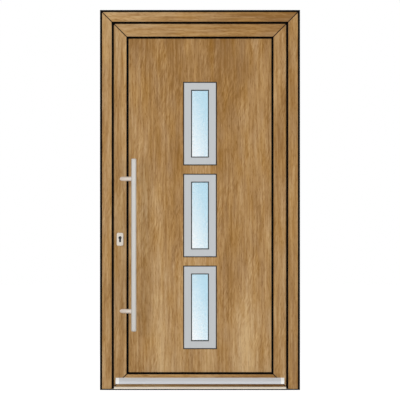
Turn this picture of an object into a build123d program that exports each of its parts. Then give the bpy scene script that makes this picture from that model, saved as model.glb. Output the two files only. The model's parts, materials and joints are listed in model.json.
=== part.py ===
"""A front door in its frame: oak-foil plastic profiles, three narrow windows, a pull bar and a weather bar.

Millimetres, +Z up, +X to the hinge side, outside face towards -Y, origin on the floor at the middle of
the width and of the frame's depth.
"""

import os

from build123d import *

# Door set
DOOR_WIDTH = 1100.0
DOOR_HEIGHT = 2090.0
FRAME_DEPTH = 70.0
LEAF_DEPTH = 70.0
BASE_HEIGHT = 6.5

# Frame profile
FRAME_BODY = 45.0
FRAME_LIP = 19.0
FRAME_LIP_THICKNESS = 15.0
EDGE_SEAL_WIDTH = 12.0
EDGE_SEAL_DEPTH = 18.0
PROFILE_ROUND = 3.0
WELD_GROOVE = 1.5

# Gaps between frame and leaf
REBATE_GAP = 12.0
SEAL_GAP = 5.0
SEAL_RELIEF = 0.3
LEAF_FLOOR_GAP = 5.0

# Leaf profile
LEAF_FLANGE = 20.0
LEAF_FACE = 88.0
BOTTOM_RAIL_FACE = 72.0
GLAZING_LIP = 20.0
GLAZING_LIP_THICKNESS = 14.0
EDGE_GROOVE_WIDTH = 20.0
EDGE_GROOVE_DEPTH = 3.0

# Infill panel and its fixing
PANEL_THICKNESS = 32.0
PANEL_CLEARANCE = 4.0
PANEL_GASKET_THICKNESS = 3.0
PANEL_GASKET_FOOT = 8.0
GASKET_BAND = 12.0
GASKET_RISE = 7.0
GASKET_FOOT = 6.0
INNER_GASKET_BAND = 3.0
BEAD_BEVEL = 8.0

# Threshold
THRESHOLD_RIDGE_HEIGHT = 11.0
THRESHOLD_SLOPE = 5.0
TREAD_THICKNESS = 1.5

# Windows
WINDOW_DROP = 55.4
WINDOW_GAP = 56.0
TRIM_WIDTH = 175.0
TRIM_HEIGHT = 450.0
TRIM_BAND = 38.7
TRIM_THICKNESS = 4.0
TRIM_CHAMFER = 1.0
WINDOW_SEAL_BAND = 5.0
EDGE_SEAL_RISE = 1.5
GLASS_COVER = 15.0
CUTOUT_CLEARANCE = 2.0
PANE_THICKNESS = 4.0
SPACER_BAND = 7.0
SPACER_INSET = 3.0
GLAZING_SEAL_THICKNESS = 4.0

# Pull bar
BAR_FROM_LIP = 41.5
BAR_CENTRE_Z = 797.5
BAR_LENGTH = 950.0
BAR_RADIUS = 14.0
BAR_END_ROUND = 6.0
SUPPORT_FROM_END = 111.0
SUPPORT_RADIUS = 12.0
SUPPORT_REACH = 61.5

# Lock
LOCK_BACKSET = 53.0
CYLINDER_Z = 837.0
CYLINDER_HEAD_RADIUS = 8.5
CYLINDER_BODY_WIDTH = 10.0
CYLINDER_HEIGHT = 33.0
CYLINDER_FIT = 0.3
CYLINDER_RECESS = 1.5
PLUG_RADIUS = 6.5
PLUG_GROOVE = 0.5
KEYWAY_WIDTH = 2.2
KEYWAY_HEIGHT = 8.5
KEYWAY_DEPTH = 12.0
ESCUTCHEON_WIDTH = 37.0
ESCUTCHEON_HEIGHT = 72.0
ESCUTCHEON_THICKNESS = 8.0
ESCUTCHEON_CORNER = 9.0
ESCUTCHEON_EDGE = 2.0
LEVER_ABOVE_CYLINDER = 92.0
HANDLE_PLATE_WIDTH = 36.0
HANDLE_PLATE_HEIGHT = 230.0
HANDLE_PLATE_THICKNESS = 10.0
LEVER_LENGTH = 125.0
LEVER_STANDOFF = 50.0
LEVER_RADIUS = 9.0
LEVER_BEND = 18.0
LEVER_END_ROUND = 4.0
FACEPLATE_FROM_FLOOR = 250.0
FACEPLATE_FROM_TOP = 240.0
FACEPLATE_FIT = 0.3
BOLT_WIDTH = 12.0
BOLT_FIT = 0.4
LATCH_HEIGHT = 32.0
DEAD_BOLT_HEIGHT = 40.0
LATCH_REACH = 5.0
DEAD_BOLT_REACH = 1.0
OUTER_BOLT_FROM_END = 170.0
STRIKE_MARGIN = 25.0
STRIKE_THICKNESS = 3.0
STRIKE_POCKET_DEPTH = 15.0

# Weather bar
WEATHER_BAR_BOTTOM = 33.0
WEATHER_BAR_HEIGHT = 33.5
WEATHER_BAR_DEPTH = 27.0
WEATHER_BAR_NOSE = 14.0
WEATHER_BAR_SIDE_GAP = 22.0
WEATHER_BAR_ROUND = 2.5
DRIP_GROOVE = 4.0
CAP_LENGTH = 18.5

# Hinges
HINGE_FROM_END = 300.0
HINGE_OUT = 17.0
HINGE_UP = 7.0
HINGE_HEIGHT = 110.0
LEAF_KNUCKLE_HEIGHT = 50.0
KNUCKLE_GAP = 0.5
KNUCKLE_RADIUS = 10.0
PIN_RADIUS = 5.0
PIN_FIT = 0.1
HINGE_PLATE_THICKNESS = 5.0
HINGE_LEAF_PLATE_WIDTH = 46.0
HINGE_ARM_THICKNESS = 9.0
HINGE_FRAME_PLATE_WIDTH = 28.0
HINGE_POST_WIDTH = 17.0
HINGE_EDGE_ROUND = 1.5

# Wall fixings
FIXING_RADIUS = 4.0
FIXING_Y = -8.0
FIXINGS_PER_JAMB = 4
JAMB_FIXING_FROM_END = 145.0
HEAD_FIXING_FROM_SIDE = 250.0

# Positions that follow from the sizes above
HALF_WIDTH = DOOR_WIDTH / 2
FRAME_FRONT = -FRAME_DEPTH / 2
FRAME_BACK = FRAME_DEPTH / 2
LIP_BACK = FRAME_FRONT + FRAME_LIP_THICKNESS
LEAF_FRONT = LIP_BACK + SEAL_GAP
LEAF_BACK = LEAF_FRONT + LEAF_DEPTH
FLANGE_FRONT = FRAME_BACK + SEAL_GAP
REBATE_X = HALF_WIDTH - FRAME_BODY
LIP_X = REBATE_X - FRAME_LIP
LIP_TOP = DOOR_HEIGHT - FRAME_BODY - FRAME_LIP
LEAF_EDGE_X = REBATE_X - REBATE_GAP
LEAF_TOP = DOOR_HEIGHT - FRAME_BODY - REBATE_GAP
FLANGE_X = LEAF_EDGE_X + LEAF_FLANGE
FLANGE_TOP = LEAF_TOP + LEAF_FLANGE
OPENING_X = LEAF_EDGE_X - LEAF_FACE
OPENING_TOP = LEAF_TOP - LEAF_FACE
TREAD_TOP = BASE_HEIGHT + TREAD_THICKNESS
LEAF_BOTTOM = TREAD_TOP + LEAF_FLOOR_GAP
OPENING_BOTTOM = LEAF_BOTTOM + BOTTOM_RAIL_FACE
OPENING_WIDTH = 2 * OPENING_X
OPENING_HEIGHT = OPENING_TOP - OPENING_BOTTOM
OPENING_Z = (OPENING_TOP + OPENING_BOTTOM) / 2
GLAZING_LIP_BACK = LEAF_FRONT + GLAZING_LIP_THICKNESS
PANEL_FRONT = GLAZING_LIP_BACK + PANEL_GASKET_THICKNESS
PANEL_BACK = PANEL_FRONT + PANEL_THICKNESS
BEAD_FRONT = PANEL_BACK + PANEL_GASKET_THICKNESS
RIDGE_X = LIP_X - GASKET_BAND - SEAL_RELIEF
EDGE_GROOVE_Y = (LEAF_FRONT + FLANGE_FRONT) / 2
WINDOW_PITCH = TRIM_HEIGHT + WINDOW_GAP
WINDOW_HEIGHTS = {
    "upper": OPENING_Z - WINDOW_DROP + WINDOW_PITCH,
    "middle": OPENING_Z - WINDOW_DROP,
    "lower": OPENING_Z - WINDOW_DROP - WINDOW_PITCH,
}
BAR_X = -OPENING_X + BAR_FROM_LIP
BAR_Y = LEAF_FRONT - SUPPORT_REACH
SUPPORT_HEIGHTS = {
    "upper": BAR_CENTRE_Z + BAR_LENGTH / 2 - SUPPORT_FROM_END,
    "lower": BAR_CENTRE_Z - BAR_LENGTH / 2 + SUPPORT_FROM_END,
}
LOCK_X = -LEAF_EDGE_X + LOCK_BACKSET
LEVER_Z = CYLINDER_Z + LEVER_ABOVE_CYLINDER
FACEPLATE_BOTTOM = FACEPLATE_FROM_FLOOR
FACEPLATE_TOP = DOOR_HEIGHT - FACEPLATE_FROM_TOP
OUTER_BOLT_HEIGHTS = (FACEPLATE_BOTTOM + OUTER_BOLT_FROM_END, FACEPLATE_TOP - OUTER_BOLT_FROM_END)
WEATHER_BAR_END = LIP_X - WEATHER_BAR_SIDE_GAP
HINGE_HEIGHTS = (HINGE_FROM_END, DOOR_HEIGHT / 2, DOOR_HEIGHT - HINGE_FROM_END)
JAMB_FIXING_PITCH = (DOOR_HEIGHT - 2 * JAMB_FIXING_FROM_END) / (FIXINGS_PER_JAMB - 1)
JAMB_FIXING_HEIGHTS = [JAMB_FIXING_FROM_END + i * JAMB_FIXING_PITCH for i in range(FIXINGS_PER_JAMB)]
HEAD_FIXING_X = HALF_WIDTH - HEAD_FIXING_FROM_SIDE
HINGE_X = FLANGE_X + HINGE_OUT
HINGE_Y = LEAF_BACK + HINGE_UP


def corner_plane(x, z, normal_x, normal_z):
    """Plane through a mitre, upright to the door's face."""
    return Plane(origin=(x, 0, z), x_dir=(0, 1, 0), z_dir=(normal_x, 0, normal_z))


FRAME_MITRES = {side: corner_plane(side * HALF_WIDTH, DOOR_HEIGHT, -side, 1) for side in (-1, 1)}
LEAF_MITRES = {side: corner_plane(side * FLANGE_X, FLANGE_TOP, -side, 1) for side in (-1, 1)}
FOOT_MITRES = {side: corner_plane(side * OPENING_X, OPENING_BOTTOM, -side, -1) for side in (-1, 1)}
OPENING_TOP_MITRES = {side: corner_plane(side * OPENING_X, OPENING_TOP, -side, 1) for side in (-1, 1)}


def upright_plane(side, x, z):
    """Section plane of an upright piece: local x runs from its outer edge inwards, local y from outside in."""
    return Plane(origin=(side * x, 0, z), x_dir=(-side, 0, 0), z_dir=(0, 0, -side))


def top_plane(x, z):
    """Section plane of a piece across the top: local x runs downwards, extruded along +X from -x."""
    return Plane(origin=(-x, 0, z), x_dir=(0, 0, -1), z_dir=(1, 0, 0))


def foot_plane(x, z):
    """Section plane of a piece across the foot: local x runs upwards, extruded along -X from x."""
    return Plane(origin=(x, 0, z), x_dir=(0, 0, 1), z_dir=(-1, 0, 0))


def outside_plane(x, y, z):
    """Sketch plane seen from outside: local x is +X, local y is +Z, extruded towards -Y."""
    return Plane(origin=(x, y, z), x_dir=(1, 0, 0), z_dir=(0, -1, 0))


def weld_groove(x, z, run_x, run_z, length, face_y, into):
    """Small V groove along a welded mitre, on the face at face_y, cut in the direction of into."""
    plane = Plane(origin=(x, face_y, z), x_dir=(0, into, 0), z_dir=(run_x, 0, run_z))
    with BuildPart() as groove:
        with BuildSketch(plane):
            with BuildLine():
                Polyline((0, -WELD_GROOVE), (WELD_GROOVE, 0), (0, WELD_GROOVE), close=True)
            make_face()
        extrude(amount=length)
    return groove.part


def frame_section():
    """Frame profile from the wall to the lip, with a rebate for the edge seal at the outside corner."""
    lip = FRAME_BODY + FRAME_LIP
    seal_back = FRAME_FRONT + EDGE_SEAL_DEPTH
    with BuildSketch() as section:
        with BuildLine():
            Polyline(
                (EDGE_SEAL_WIDTH, FRAME_FRONT),
                (lip, FRAME_FRONT),
                (lip, LIP_BACK),
                (FRAME_BODY, LIP_BACK),
                (FRAME_BODY, FRAME_BACK),
                (0, FRAME_BACK),
                (0, seal_back),
                (EDGE_SEAL_WIDTH, seal_back),
                close=True,
            )
        make_face()
        fillet(section.vertices().group_by(Axis.Y)[0].sort_by(Axis.X)[-1], PROFILE_ROUND)
    return section.sketch


def leaf_section():
    """Leaf profile from the inside flange to the glazing lip, with a groove for the lock strip."""
    body = LEAF_FLANGE
    glazing = LEAF_FLANGE + LEAF_FACE - GLAZING_LIP
    lip = LEAF_FLANGE + LEAF_FACE
    groove = body + EDGE_GROOVE_DEPTH
    groove_front = EDGE_GROOVE_Y - EDGE_GROOVE_WIDTH / 2
    groove_back = EDGE_GROOVE_Y + EDGE_GROOVE_WIDTH / 2
    with BuildSketch() as section:
        with BuildLine():
            Polyline(
                (body, LEAF_FRONT),
                (lip, LEAF_FRONT),
                (lip, GLAZING_LIP_BACK),
                (glazing, GLAZING_LIP_BACK),
                (glazing, LEAF_BACK),
                (0, LEAF_BACK),
                (0, FLANGE_FRONT),
                (body, FLANGE_FRONT),
                (body, groove_back),
                (groove, groove_back),
                (groove, groove_front),
                (body, groove_front),
                close=True,
            )
        make_face()
        fillet(section.vertices().group_by(Axis.Y)[0], PROFILE_ROUND)
        fillet(section.vertices().group_by(Axis.Y)[-1].sort_by(Axis.X)[0], PROFILE_ROUND)
    return section.sketch


def bead_section():
    """Glazing bead with a bevelled inside edge, from the rebate to the opening."""
    with BuildSketch() as section:
        with BuildLine():
            Polyline(
                (0, BEAD_FRONT),
                (GLAZING_LIP, BEAD_FRONT),
                (GLAZING_LIP, LEAF_BACK - BEAD_BEVEL),
                (GLAZING_LIP - BEAD_BEVEL, LEAF_BACK),
                (0, LEAF_BACK),
                close=True,
            )
        make_face()
    return section.sketch


def frame_gasket_section():
    """Gasket on the frame's lip: a foot in the gap behind it and a sloping band into the doorway."""
    with BuildSketch() as section:
        with BuildLine():
            Polyline(
                (-GASKET_FOOT, LIP_BACK),
                (0, LIP_BACK),
                (0, LIP_BACK - GASKET_RISE),
                (GASKET_BAND, LIP_BACK + SEAL_GAP / 2),
                (GASKET_BAND, LEAF_FRONT - SEAL_RELIEF),
                (-GASKET_FOOT, LEAF_FRONT - SEAL_RELIEF),
                close=True,
            )
        make_face()
    return section.sketch


def weather_bar_section():
    """Drip bar: flat back on the leaf, sloping top, upright nose and a drip groove underneath."""
    bottom = WEATHER_BAR_BOTTOM
    front = LEAF_FRONT - WEATHER_BAR_DEPTH
    with BuildSketch() as section:
        with BuildLine():
            Polyline(
                (LEAF_FRONT, bottom),
                (LEAF_FRONT, bottom + WEATHER_BAR_HEIGHT),
                (LEAF_FRONT - DRIP_GROOVE, bottom + WEATHER_BAR_HEIGHT),
                (front, bottom + WEATHER_BAR_NOSE),
                (front, bottom),
                (front + DRIP_GROOVE, bottom),
                (front + DRIP_GROOVE, bottom + DRIP_GROOVE),
                (front + 2 * DRIP_GROOVE, bottom + DRIP_GROOVE),
                (front + 2 * DRIP_GROOVE, bottom),
                close=True,
            )
        make_face()
        nose = section.vertices().group_by(Axis.X)[0].sort_by(Axis.Y)[-1]
        fillet(nose, WEATHER_BAR_ROUND)
    return section.sketch


def profile_cylinder_section(fit):
    """Outline of a profile cylinder, larger by fit all round: a round head over a narrow body."""
    radius = CYLINDER_BODY_WIDTH / 2 + fit
    body_end = CYLINDER_HEAD_RADIUS - CYLINDER_HEIGHT + CYLINDER_BODY_WIDTH / 2
    with BuildSketch() as section:
        Circle(CYLINDER_HEAD_RADIUS + fit)
        with Locations((0, body_end / 2)):
            Rectangle(2 * radius, -body_end)
        with Locations((0, body_end)):
            Circle(radius)
    return section.sketch


def make_frame_jamb(side):
    """Upright of the frame, mitred at the top, with holes for the wall fixings."""
    holes = [
        Plane(origin=(side * HALF_WIDTH, FIXING_Y, z), z_dir=(side, 0, 0)).location
        for z in JAMB_FIXING_HEIGHTS
    ]
    grooves = frame_weld_grooves()
    with BuildPart() as jamb:
        with BuildSketch(upright_plane(side, HALF_WIDTH, BASE_HEIGHT)):
            add(frame_section())
        extrude(amount=-side * (DOOR_HEIGHT - BASE_HEIGHT))
        split(bisect_by=FRAME_MITRES[side], keep=Keep.BOTTOM)
        add(grooves, mode=Mode.SUBTRACT)
        with Locations(*holes):
            Hole(FIXING_RADIUS)
        if side < 0:
            for bolt_z, bolt_height in bolt_places():
                with Locations((-REBATE_X - STRIKE_THICKNESS / 2, EDGE_GROOVE_Y, bolt_z)):
                    Box(
                        STRIKE_THICKNESS,
                        EDGE_GROOVE_WIDTH,
                        bolt_height + 2 * STRIKE_MARGIN,
                        mode=Mode.SUBTRACT,
                    )
                with Locations((-REBATE_X - STRIKE_POCKET_DEPTH / 2, EDGE_GROOVE_Y, bolt_z)):
                    Box(
                        STRIKE_POCKET_DEPTH,
                        BOLT_WIDTH + 2 * BOLT_FIT,
                        bolt_height + 2 * BOLT_FIT,
                        mode=Mode.SUBTRACT,
                    )
    return jamb.part


def make_frame_head():
    """Head of the frame, mitred at both ends, with holes for the wall fixings."""
    grooves = frame_weld_grooves()
    with BuildPart() as head:
        with BuildSketch(top_plane(HALF_WIDTH, DOOR_HEIGHT)):
            add(frame_section())
        extrude(amount=DOOR_WIDTH)
        split(bisect_by=FRAME_MITRES[-1], keep=Keep.TOP)
        split(bisect_by=FRAME_MITRES[1], keep=Keep.TOP)
        add(grooves, mode=Mode.SUBTRACT)
        with Locations((-HEAD_FIXING_X, FIXING_Y, DOOR_HEIGHT), (HEAD_FIXING_X, FIXING_Y, DOOR_HEIGHT)):
            Hole(FIXING_RADIUS)
    return head.part


def frame_weld_grooves():
    """Grooves along the frame's two mitres, outside and inside."""
    length = 2 * (FRAME_BODY + FRAME_LIP)
    return [
        weld_groove(side * HALF_WIDTH, DOOR_HEIGHT, -side, -1, length, face, into)
        for side in (-1, 1)
        for face, into in ((FRAME_FRONT, 1), (FRAME_BACK, -1))
    ]


def leaf_weld_grooves():
    """Grooves along the leaf's four mitres, outside and inside."""
    length = 2 * (LEAF_FACE + LEAF_FLANGE)
    faces = ((LEAF_FRONT, 1), (LEAF_BACK, -1))
    top = [
        weld_groove(side * FLANGE_X, FLANGE_TOP, -side, -1, length, face, into)
        for side in (-1, 1)
        for face, into in faces
    ]
    foot = [
        weld_groove(side * OPENING_X, OPENING_BOTTOM, side, -1, length, face, into)
        for side in (-1, 1)
        for face, into in faces
    ]
    return top + foot


def make_leaf_stile(side):
    """Upright of the leaf, mitred at top and foot; the left one takes the lock cylinder."""
    grooves = leaf_weld_grooves()
    with BuildPart() as stile:
        with BuildSketch(upright_plane(side, FLANGE_X, LEAF_BOTTOM)):
            add(leaf_section())
        extrude(amount=-side * (FLANGE_TOP - LEAF_BOTTOM))
        split(bisect_by=LEAF_MITRES[side], keep=Keep.BOTTOM)
        split(bisect_by=FOOT_MITRES[side], keep=Keep.BOTTOM)
        add(grooves, mode=Mode.SUBTRACT)
        if side < 0:
            with BuildSketch(outside_plane(LOCK_X, LEAF_FRONT, CYLINDER_Z)):
                add(profile_cylinder_section(CYLINDER_FIT))
            extrude(amount=-LEAF_DEPTH, mode=Mode.SUBTRACT)
    return stile.part


def make_leaf_rail_top():
    """Top rail of the leaf, mitred at both ends."""
    grooves = leaf_weld_grooves()
    with BuildPart() as rail:
        with BuildSketch(top_plane(FLANGE_X, FLANGE_TOP)):
            add(leaf_section())
        extrude(amount=2 * FLANGE_X)
        split(bisect_by=LEAF_MITRES[-1], keep=Keep.TOP)
        split(bisect_by=LEAF_MITRES[1], keep=Keep.TOP)
        add(grooves, mode=Mode.SUBTRACT)
    return rail.part


def make_leaf_rail_bottom():
    """Bottom rail of the leaf: the same profile, milled off above the threshold."""
    grooves = leaf_weld_grooves()
    with BuildPart() as rail:
        with BuildSketch(foot_plane(FLANGE_X, OPENING_BOTTOM - LEAF_FACE - LEAF_FLANGE)):
            add(leaf_section())
        extrude(amount=2 * FLANGE_X)
        split(bisect_by=FOOT_MITRES[-1], keep=Keep.TOP)
        split(bisect_by=FOOT_MITRES[1], keep=Keep.TOP)
        split(bisect_by=Plane.XY.offset(LEAF_BOTTOM), keep=Keep.TOP)
        add(grooves, mode=Mode.SUBTRACT)
    return rail.part


def make_frame_edge_seal():
    """Compressed tape in the frame's outside corner, on three sides."""
    seal_y = FRAME_FRONT + EDGE_SEAL_DEPTH / 2
    height = DOOR_HEIGHT - BASE_HEIGHT
    with BuildPart() as seal:
        with Locations((0, seal_y, DOOR_HEIGHT - EDGE_SEAL_WIDTH / 2)):
            Box(DOOR_WIDTH, EDGE_SEAL_DEPTH, EDGE_SEAL_WIDTH)
        for side in (-1, 1):
            with Locations((side * (HALF_WIDTH - EDGE_SEAL_WIDTH / 2), seal_y, BASE_HEIGHT + height / 2)):
                Box(EDGE_SEAL_WIDTH, EDGE_SEAL_DEPTH, height)
    return seal.part


def make_frame_gasket():
    """Doorway gasket on the frame's lip: left, top and right, mitred."""
    length = LIP_TOP - TREAD_TOP
    legs = []
    for side in (-1, 1):
        with BuildPart() as leg:
            with BuildSketch(upright_plane(side, LIP_X, TREAD_TOP)):
                add(frame_gasket_section())
            extrude(amount=-side * (length + GASKET_FOOT))
            split(bisect_by=corner_plane(side * LIP_X, LIP_TOP, -side, 1), keep=Keep.BOTTOM)
        legs.append(leg.part)
    with BuildPart() as gasket:
        with BuildSketch(top_plane(LIP_X + GASKET_FOOT, LIP_TOP)):
            add(frame_gasket_section())
        extrude(amount=2 * (LIP_X + GASKET_FOOT))
        split(bisect_by=corner_plane(-LIP_X, LIP_TOP, 1, 1), keep=Keep.TOP)
        split(bisect_by=corner_plane(LIP_X, LIP_TOP, -1, 1), keep=Keep.TOP)
        add(legs)
    return gasket.part


def make_leaf_gasket():
    """Overlap gasket on the leaf's inside flange, facing the frame: left, top and right."""
    inner_x = REBATE_X + SEAL_RELIEF
    outer_x = FLANGE_X - SEAL_RELIEF
    outer_top = FLANGE_TOP - SEAL_RELIEF
    band = outer_x - inner_x
    thickness = SEAL_GAP - SEAL_RELIEF
    seal_y = FLANGE_FRONT - thickness / 2
    height = outer_top - LEAF_BOTTOM
    with BuildPart() as gasket:
        with Locations((0, seal_y, outer_top - band / 2)):
            Box(2 * outer_x, thickness, band)
        for side in (-1, 1):
            with Locations((side * (outer_x - band / 2), seal_y, LEAF_BOTTOM + height / 2)):
                Box(band, thickness, height)
    return gasket.part


def make_threshold_base():
    """Insulating slab under the jambs and the threshold."""
    with BuildPart() as base:
        with Locations((0, 0, BASE_HEIGHT / 2)):
            Box(DOOR_WIDTH, FRAME_DEPTH, BASE_HEIGHT)
    return base.part


def make_threshold_cover():
    """Aluminium threshold: a flat tread between the jambs and a raised front edge."""
    ridge_top = BASE_HEIGHT + THRESHOLD_RIDGE_HEIGHT
    ridge_plane = Plane(origin=(-RIDGE_X, 0, 0), x_dir=(0, 1, 0), z_dir=(1, 0, 0))
    with BuildPart() as cover:
        with Locations((0, (LIP_BACK + FRAME_BACK) / 2, BASE_HEIGHT + TREAD_THICKNESS / 2)):
            Box(2 * REBATE_X, FRAME_BACK - LIP_BACK, TREAD_THICKNESS)
        with BuildSketch(ridge_plane) as ridge:
            with BuildLine():
                Polyline(
                    (FRAME_FRONT, BASE_HEIGHT),
                    (FRAME_BACK, BASE_HEIGHT),
                    (FRAME_BACK, TREAD_TOP),
                    (LIP_BACK, TREAD_TOP),
                    (LIP_BACK, ridge_top),
                    (FRAME_FRONT, ridge_top - THRESHOLD_SLOPE),
                    close=True,
                )
            make_face()
            fillet(ridge.vertices().group_by(Axis.X)[0].sort_by(Axis.Y)[-1], PROFILE_ROUND)
        extrude(amount=2 * RIDGE_X)
    return cover.part


def make_threshold_gasket():
    """Gasket strip behind the threshold's raised edge."""
    top = BASE_HEIGHT + THRESHOLD_RIDGE_HEIGHT - TREAD_THICKNESS
    thickness = SEAL_GAP - SEAL_RELIEF
    with BuildPart() as gasket:
        with Locations((0, LIP_BACK + thickness / 2, (TREAD_TOP + top) / 2)):
            Box(2 * RIDGE_X, thickness, top - TREAD_TOP)
    return gasket.part


def bolt_places():
    """Centre height and length of each bolt on the leaf's edge: the latch and the two outer bolts."""
    return [(LEVER_Z, LATCH_HEIGHT)] + [(z, DEAD_BOLT_HEIGHT) for z in OUTER_BOLT_HEIGHTS]


def make_strike_plates():
    """Plates let into the left jamb, each with a window for its bolt."""
    with BuildPart() as plates:
        for bolt_z, bolt_height in bolt_places():
            with Locations((-REBATE_X - STRIKE_THICKNESS / 2, EDGE_GROOVE_Y, bolt_z)):
                Box(STRIKE_THICKNESS, EDGE_GROOVE_WIDTH, bolt_height + 2 * STRIKE_MARGIN)
                Box(
                    2 * STRIKE_THICKNESS,
                    BOLT_WIDTH + 2 * BOLT_FIT,
                    bolt_height + 2 * BOLT_FIT,
                    mode=Mode.SUBTRACT,
                )
    return plates.part


def make_lock_faceplate():
    """Steel strip flush in the groove of the leaf's left edge, with windows for the bolts."""
    height = FACEPLATE_TOP - FACEPLATE_BOTTOM
    centre_x = -LEAF_EDGE_X + EDGE_GROOVE_DEPTH / 2
    with BuildPart() as plate:
        with Locations((centre_x, EDGE_GROOVE_Y, FACEPLATE_BOTTOM + height / 2)):
            Box(EDGE_GROOVE_DEPTH, EDGE_GROOVE_WIDTH - 2 * FACEPLATE_FIT, height)
        for bolt_z, bolt_height in bolt_places():
            with Locations((centre_x, EDGE_GROOVE_Y, bolt_z)):
                Box(
                    2 * EDGE_GROOVE_DEPTH,
                    BOLT_WIDTH + 2 * BOLT_FIT,
                    bolt_height + 2 * BOLT_FIT,
                    mode=Mode.SUBTRACT,
                )
    return plate.part


def make_lock_bolts():
    """Latch and outer bolts, drawn back into the leaf's edge so that the leaf can swing."""
    with BuildPart() as bolts:
        for bolt_z, bolt_height in bolt_places():
            reach = LATCH_REACH if bolt_height == LATCH_HEIGHT else DEAD_BOLT_REACH
            length = EDGE_GROOVE_DEPTH + reach
            with Locations((-LEAF_EDGE_X + EDGE_GROOVE_DEPTH - length / 2, EDGE_GROOVE_Y, bolt_z)):
                Box(length, BOLT_WIDTH, bolt_height)
        latch_corner = bolts.edges().filter_by(Axis.Z).group_by(Axis.X)[0].sort_by(Axis.Y)[-1]
        chamfer(latch_corner, LATCH_REACH - DEAD_BOLT_REACH)
    return bolts.part


def make_infill_panel():
    """Flat panel in the leaf's rebate, with a cut-out for each window."""
    width = OPENING_WIDTH + 2 * (GLAZING_LIP - PANEL_CLEARANCE)
    height = OPENING_HEIGHT + 2 * (GLAZING_LIP - PANEL_CLEARANCE)
    cut_width, cut_height = glass_size(CUTOUT_CLEARANCE)
    with BuildPart() as panel:
        with BuildSketch(outside_plane(0, PANEL_BACK, OPENING_Z)):
            Rectangle(width, height)
            with Locations(*[(0, z - OPENING_Z) for z in WINDOW_HEIGHTS.values()]):
                Rectangle(cut_width, cut_height, mode=Mode.SUBTRACT)
        extrude(amount=PANEL_THICKNESS)
    return panel.part


def make_panel_gaskets():
    """Gasket between the leaf's lip and the panel with its sloping band, and the thin one at the beads."""
    slope = GASKET_RISE + PANEL_GASKET_THICKNESS - SEAL_RELIEF
    foot_width = OPENING_WIDTH + 2 * PANEL_GASKET_FOOT
    foot_height = OPENING_HEIGHT + 2 * PANEL_GASKET_FOOT
    with BuildPart() as gaskets:
        with BuildSketch(outside_plane(0, PANEL_FRONT, OPENING_Z)):
            Rectangle(OPENING_WIDTH, OPENING_HEIGHT)
            Rectangle(
                OPENING_WIDTH - 2 * GASKET_BAND,
                OPENING_HEIGHT - 2 * GASKET_BAND,
                mode=Mode.SUBTRACT,
            )
        extrude(amount=PANEL_GASKET_THICKNESS + GASKET_RISE)
        front_edges = gaskets.faces().sort_by(Axis.Y)[0].inner_wires()[0].edges()
        chamfer(front_edges, length=slope, length2=GASKET_BAND - SEAL_RELIEF)
        with BuildSketch(outside_plane(0, PANEL_FRONT, OPENING_Z)):
            Rectangle(foot_width, foot_height)
            Rectangle(OPENING_WIDTH, OPENING_HEIGHT, mode=Mode.SUBTRACT)
        extrude(amount=PANEL_GASKET_THICKNESS)
        with BuildSketch(outside_plane(0, BEAD_FRONT, OPENING_Z)):
            Rectangle(foot_width, foot_height)
            Rectangle(
                OPENING_WIDTH - 2 * INNER_GASKET_BAND,
                OPENING_HEIGHT - 2 * INNER_GASKET_BAND,
                mode=Mode.SUBTRACT,
            )
        extrude(amount=PANEL_GASKET_THICKNESS)
    return gaskets.part


def make_side_bead(side):
    """Upright glazing bead, mitred at both ends."""
    outer_x = OPENING_X + GLAZING_LIP
    with BuildPart() as bead:
        with BuildSketch(upright_plane(side, outer_x, OPENING_BOTTOM - GLAZING_LIP)):
            add(bead_section())
        extrude(amount=-side * (OPENING_HEIGHT + 2 * GLAZING_LIP))
        split(bisect_by=OPENING_TOP_MITRES[side], keep=Keep.BOTTOM)
        split(bisect_by=FOOT_MITRES[side], keep=Keep.BOTTOM)
    return bead.part


def make_top_bead():
    """Glazing bead across the top, mitred at both ends."""
    outer_x = OPENING_X + GLAZING_LIP
    with BuildPart() as bead:
        with BuildSketch(top_plane(outer_x, OPENING_TOP + GLAZING_LIP)):
            add(bead_section())
        extrude(amount=2 * outer_x)
        split(bisect_by=OPENING_TOP_MITRES[-1], keep=Keep.TOP)
        split(bisect_by=OPENING_TOP_MITRES[1], keep=Keep.TOP)
    return bead.part


def make_bottom_bead():
    """Glazing bead across the foot, mitred at both ends."""
    outer_x = OPENING_X + GLAZING_LIP
    with BuildPart() as bead:
        with BuildSketch(foot_plane(outer_x, OPENING_BOTTOM - GLAZING_LIP)):
            add(bead_section())
        extrude(amount=2 * outer_x)
        split(bisect_by=FOOT_MITRES[-1], keep=Keep.TOP)
        split(bisect_by=FOOT_MITRES[1], keep=Keep.TOP)
    return bead.part


def glass_size(extra):
    """Width and height of a glass unit, larger by extra on every side."""
    cover = GLASS_COVER - WINDOW_SEAL_BAND - TRIM_BAND + extra
    return TRIM_WIDTH + 2 * cover, TRIM_HEIGHT + 2 * cover


def ring(x, y, z, outer, inner, thickness):
    """Flat upright ring between two sizes, standing on the plane y and growing outwards to -Y."""
    with BuildPart() as ring_part:
        with BuildSketch(outside_plane(x, y, z)):
            Rectangle(*outer)
            Rectangle(*inner, mode=Mode.SUBTRACT)
        extrude(amount=thickness)
    return ring_part.part


def grown(size, amount):
    """A width and height, larger by amount on every side."""
    return size[0] + 2 * amount, size[1] + 2 * amount


def make_window_trim(z, face_y, towards):
    """Steel frame on the panel, outside (towards -1) or inside (towards 1), with bevelled edges."""
    outer = (TRIM_WIDTH, TRIM_HEIGHT)
    base_y = face_y + (towards + 1) / 2 * TRIM_THICKNESS
    body = ring(0, base_y, z, outer, grown(outer, -TRIM_BAND), TRIM_THICKNESS)
    with BuildPart() as trim:
        add(body)
        shown = trim.faces().sort_by(Axis.Y)[0 if towards < 0 else -1]
        chamfer(shown.edges(), TRIM_CHAMFER)
    return trim.part


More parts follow.
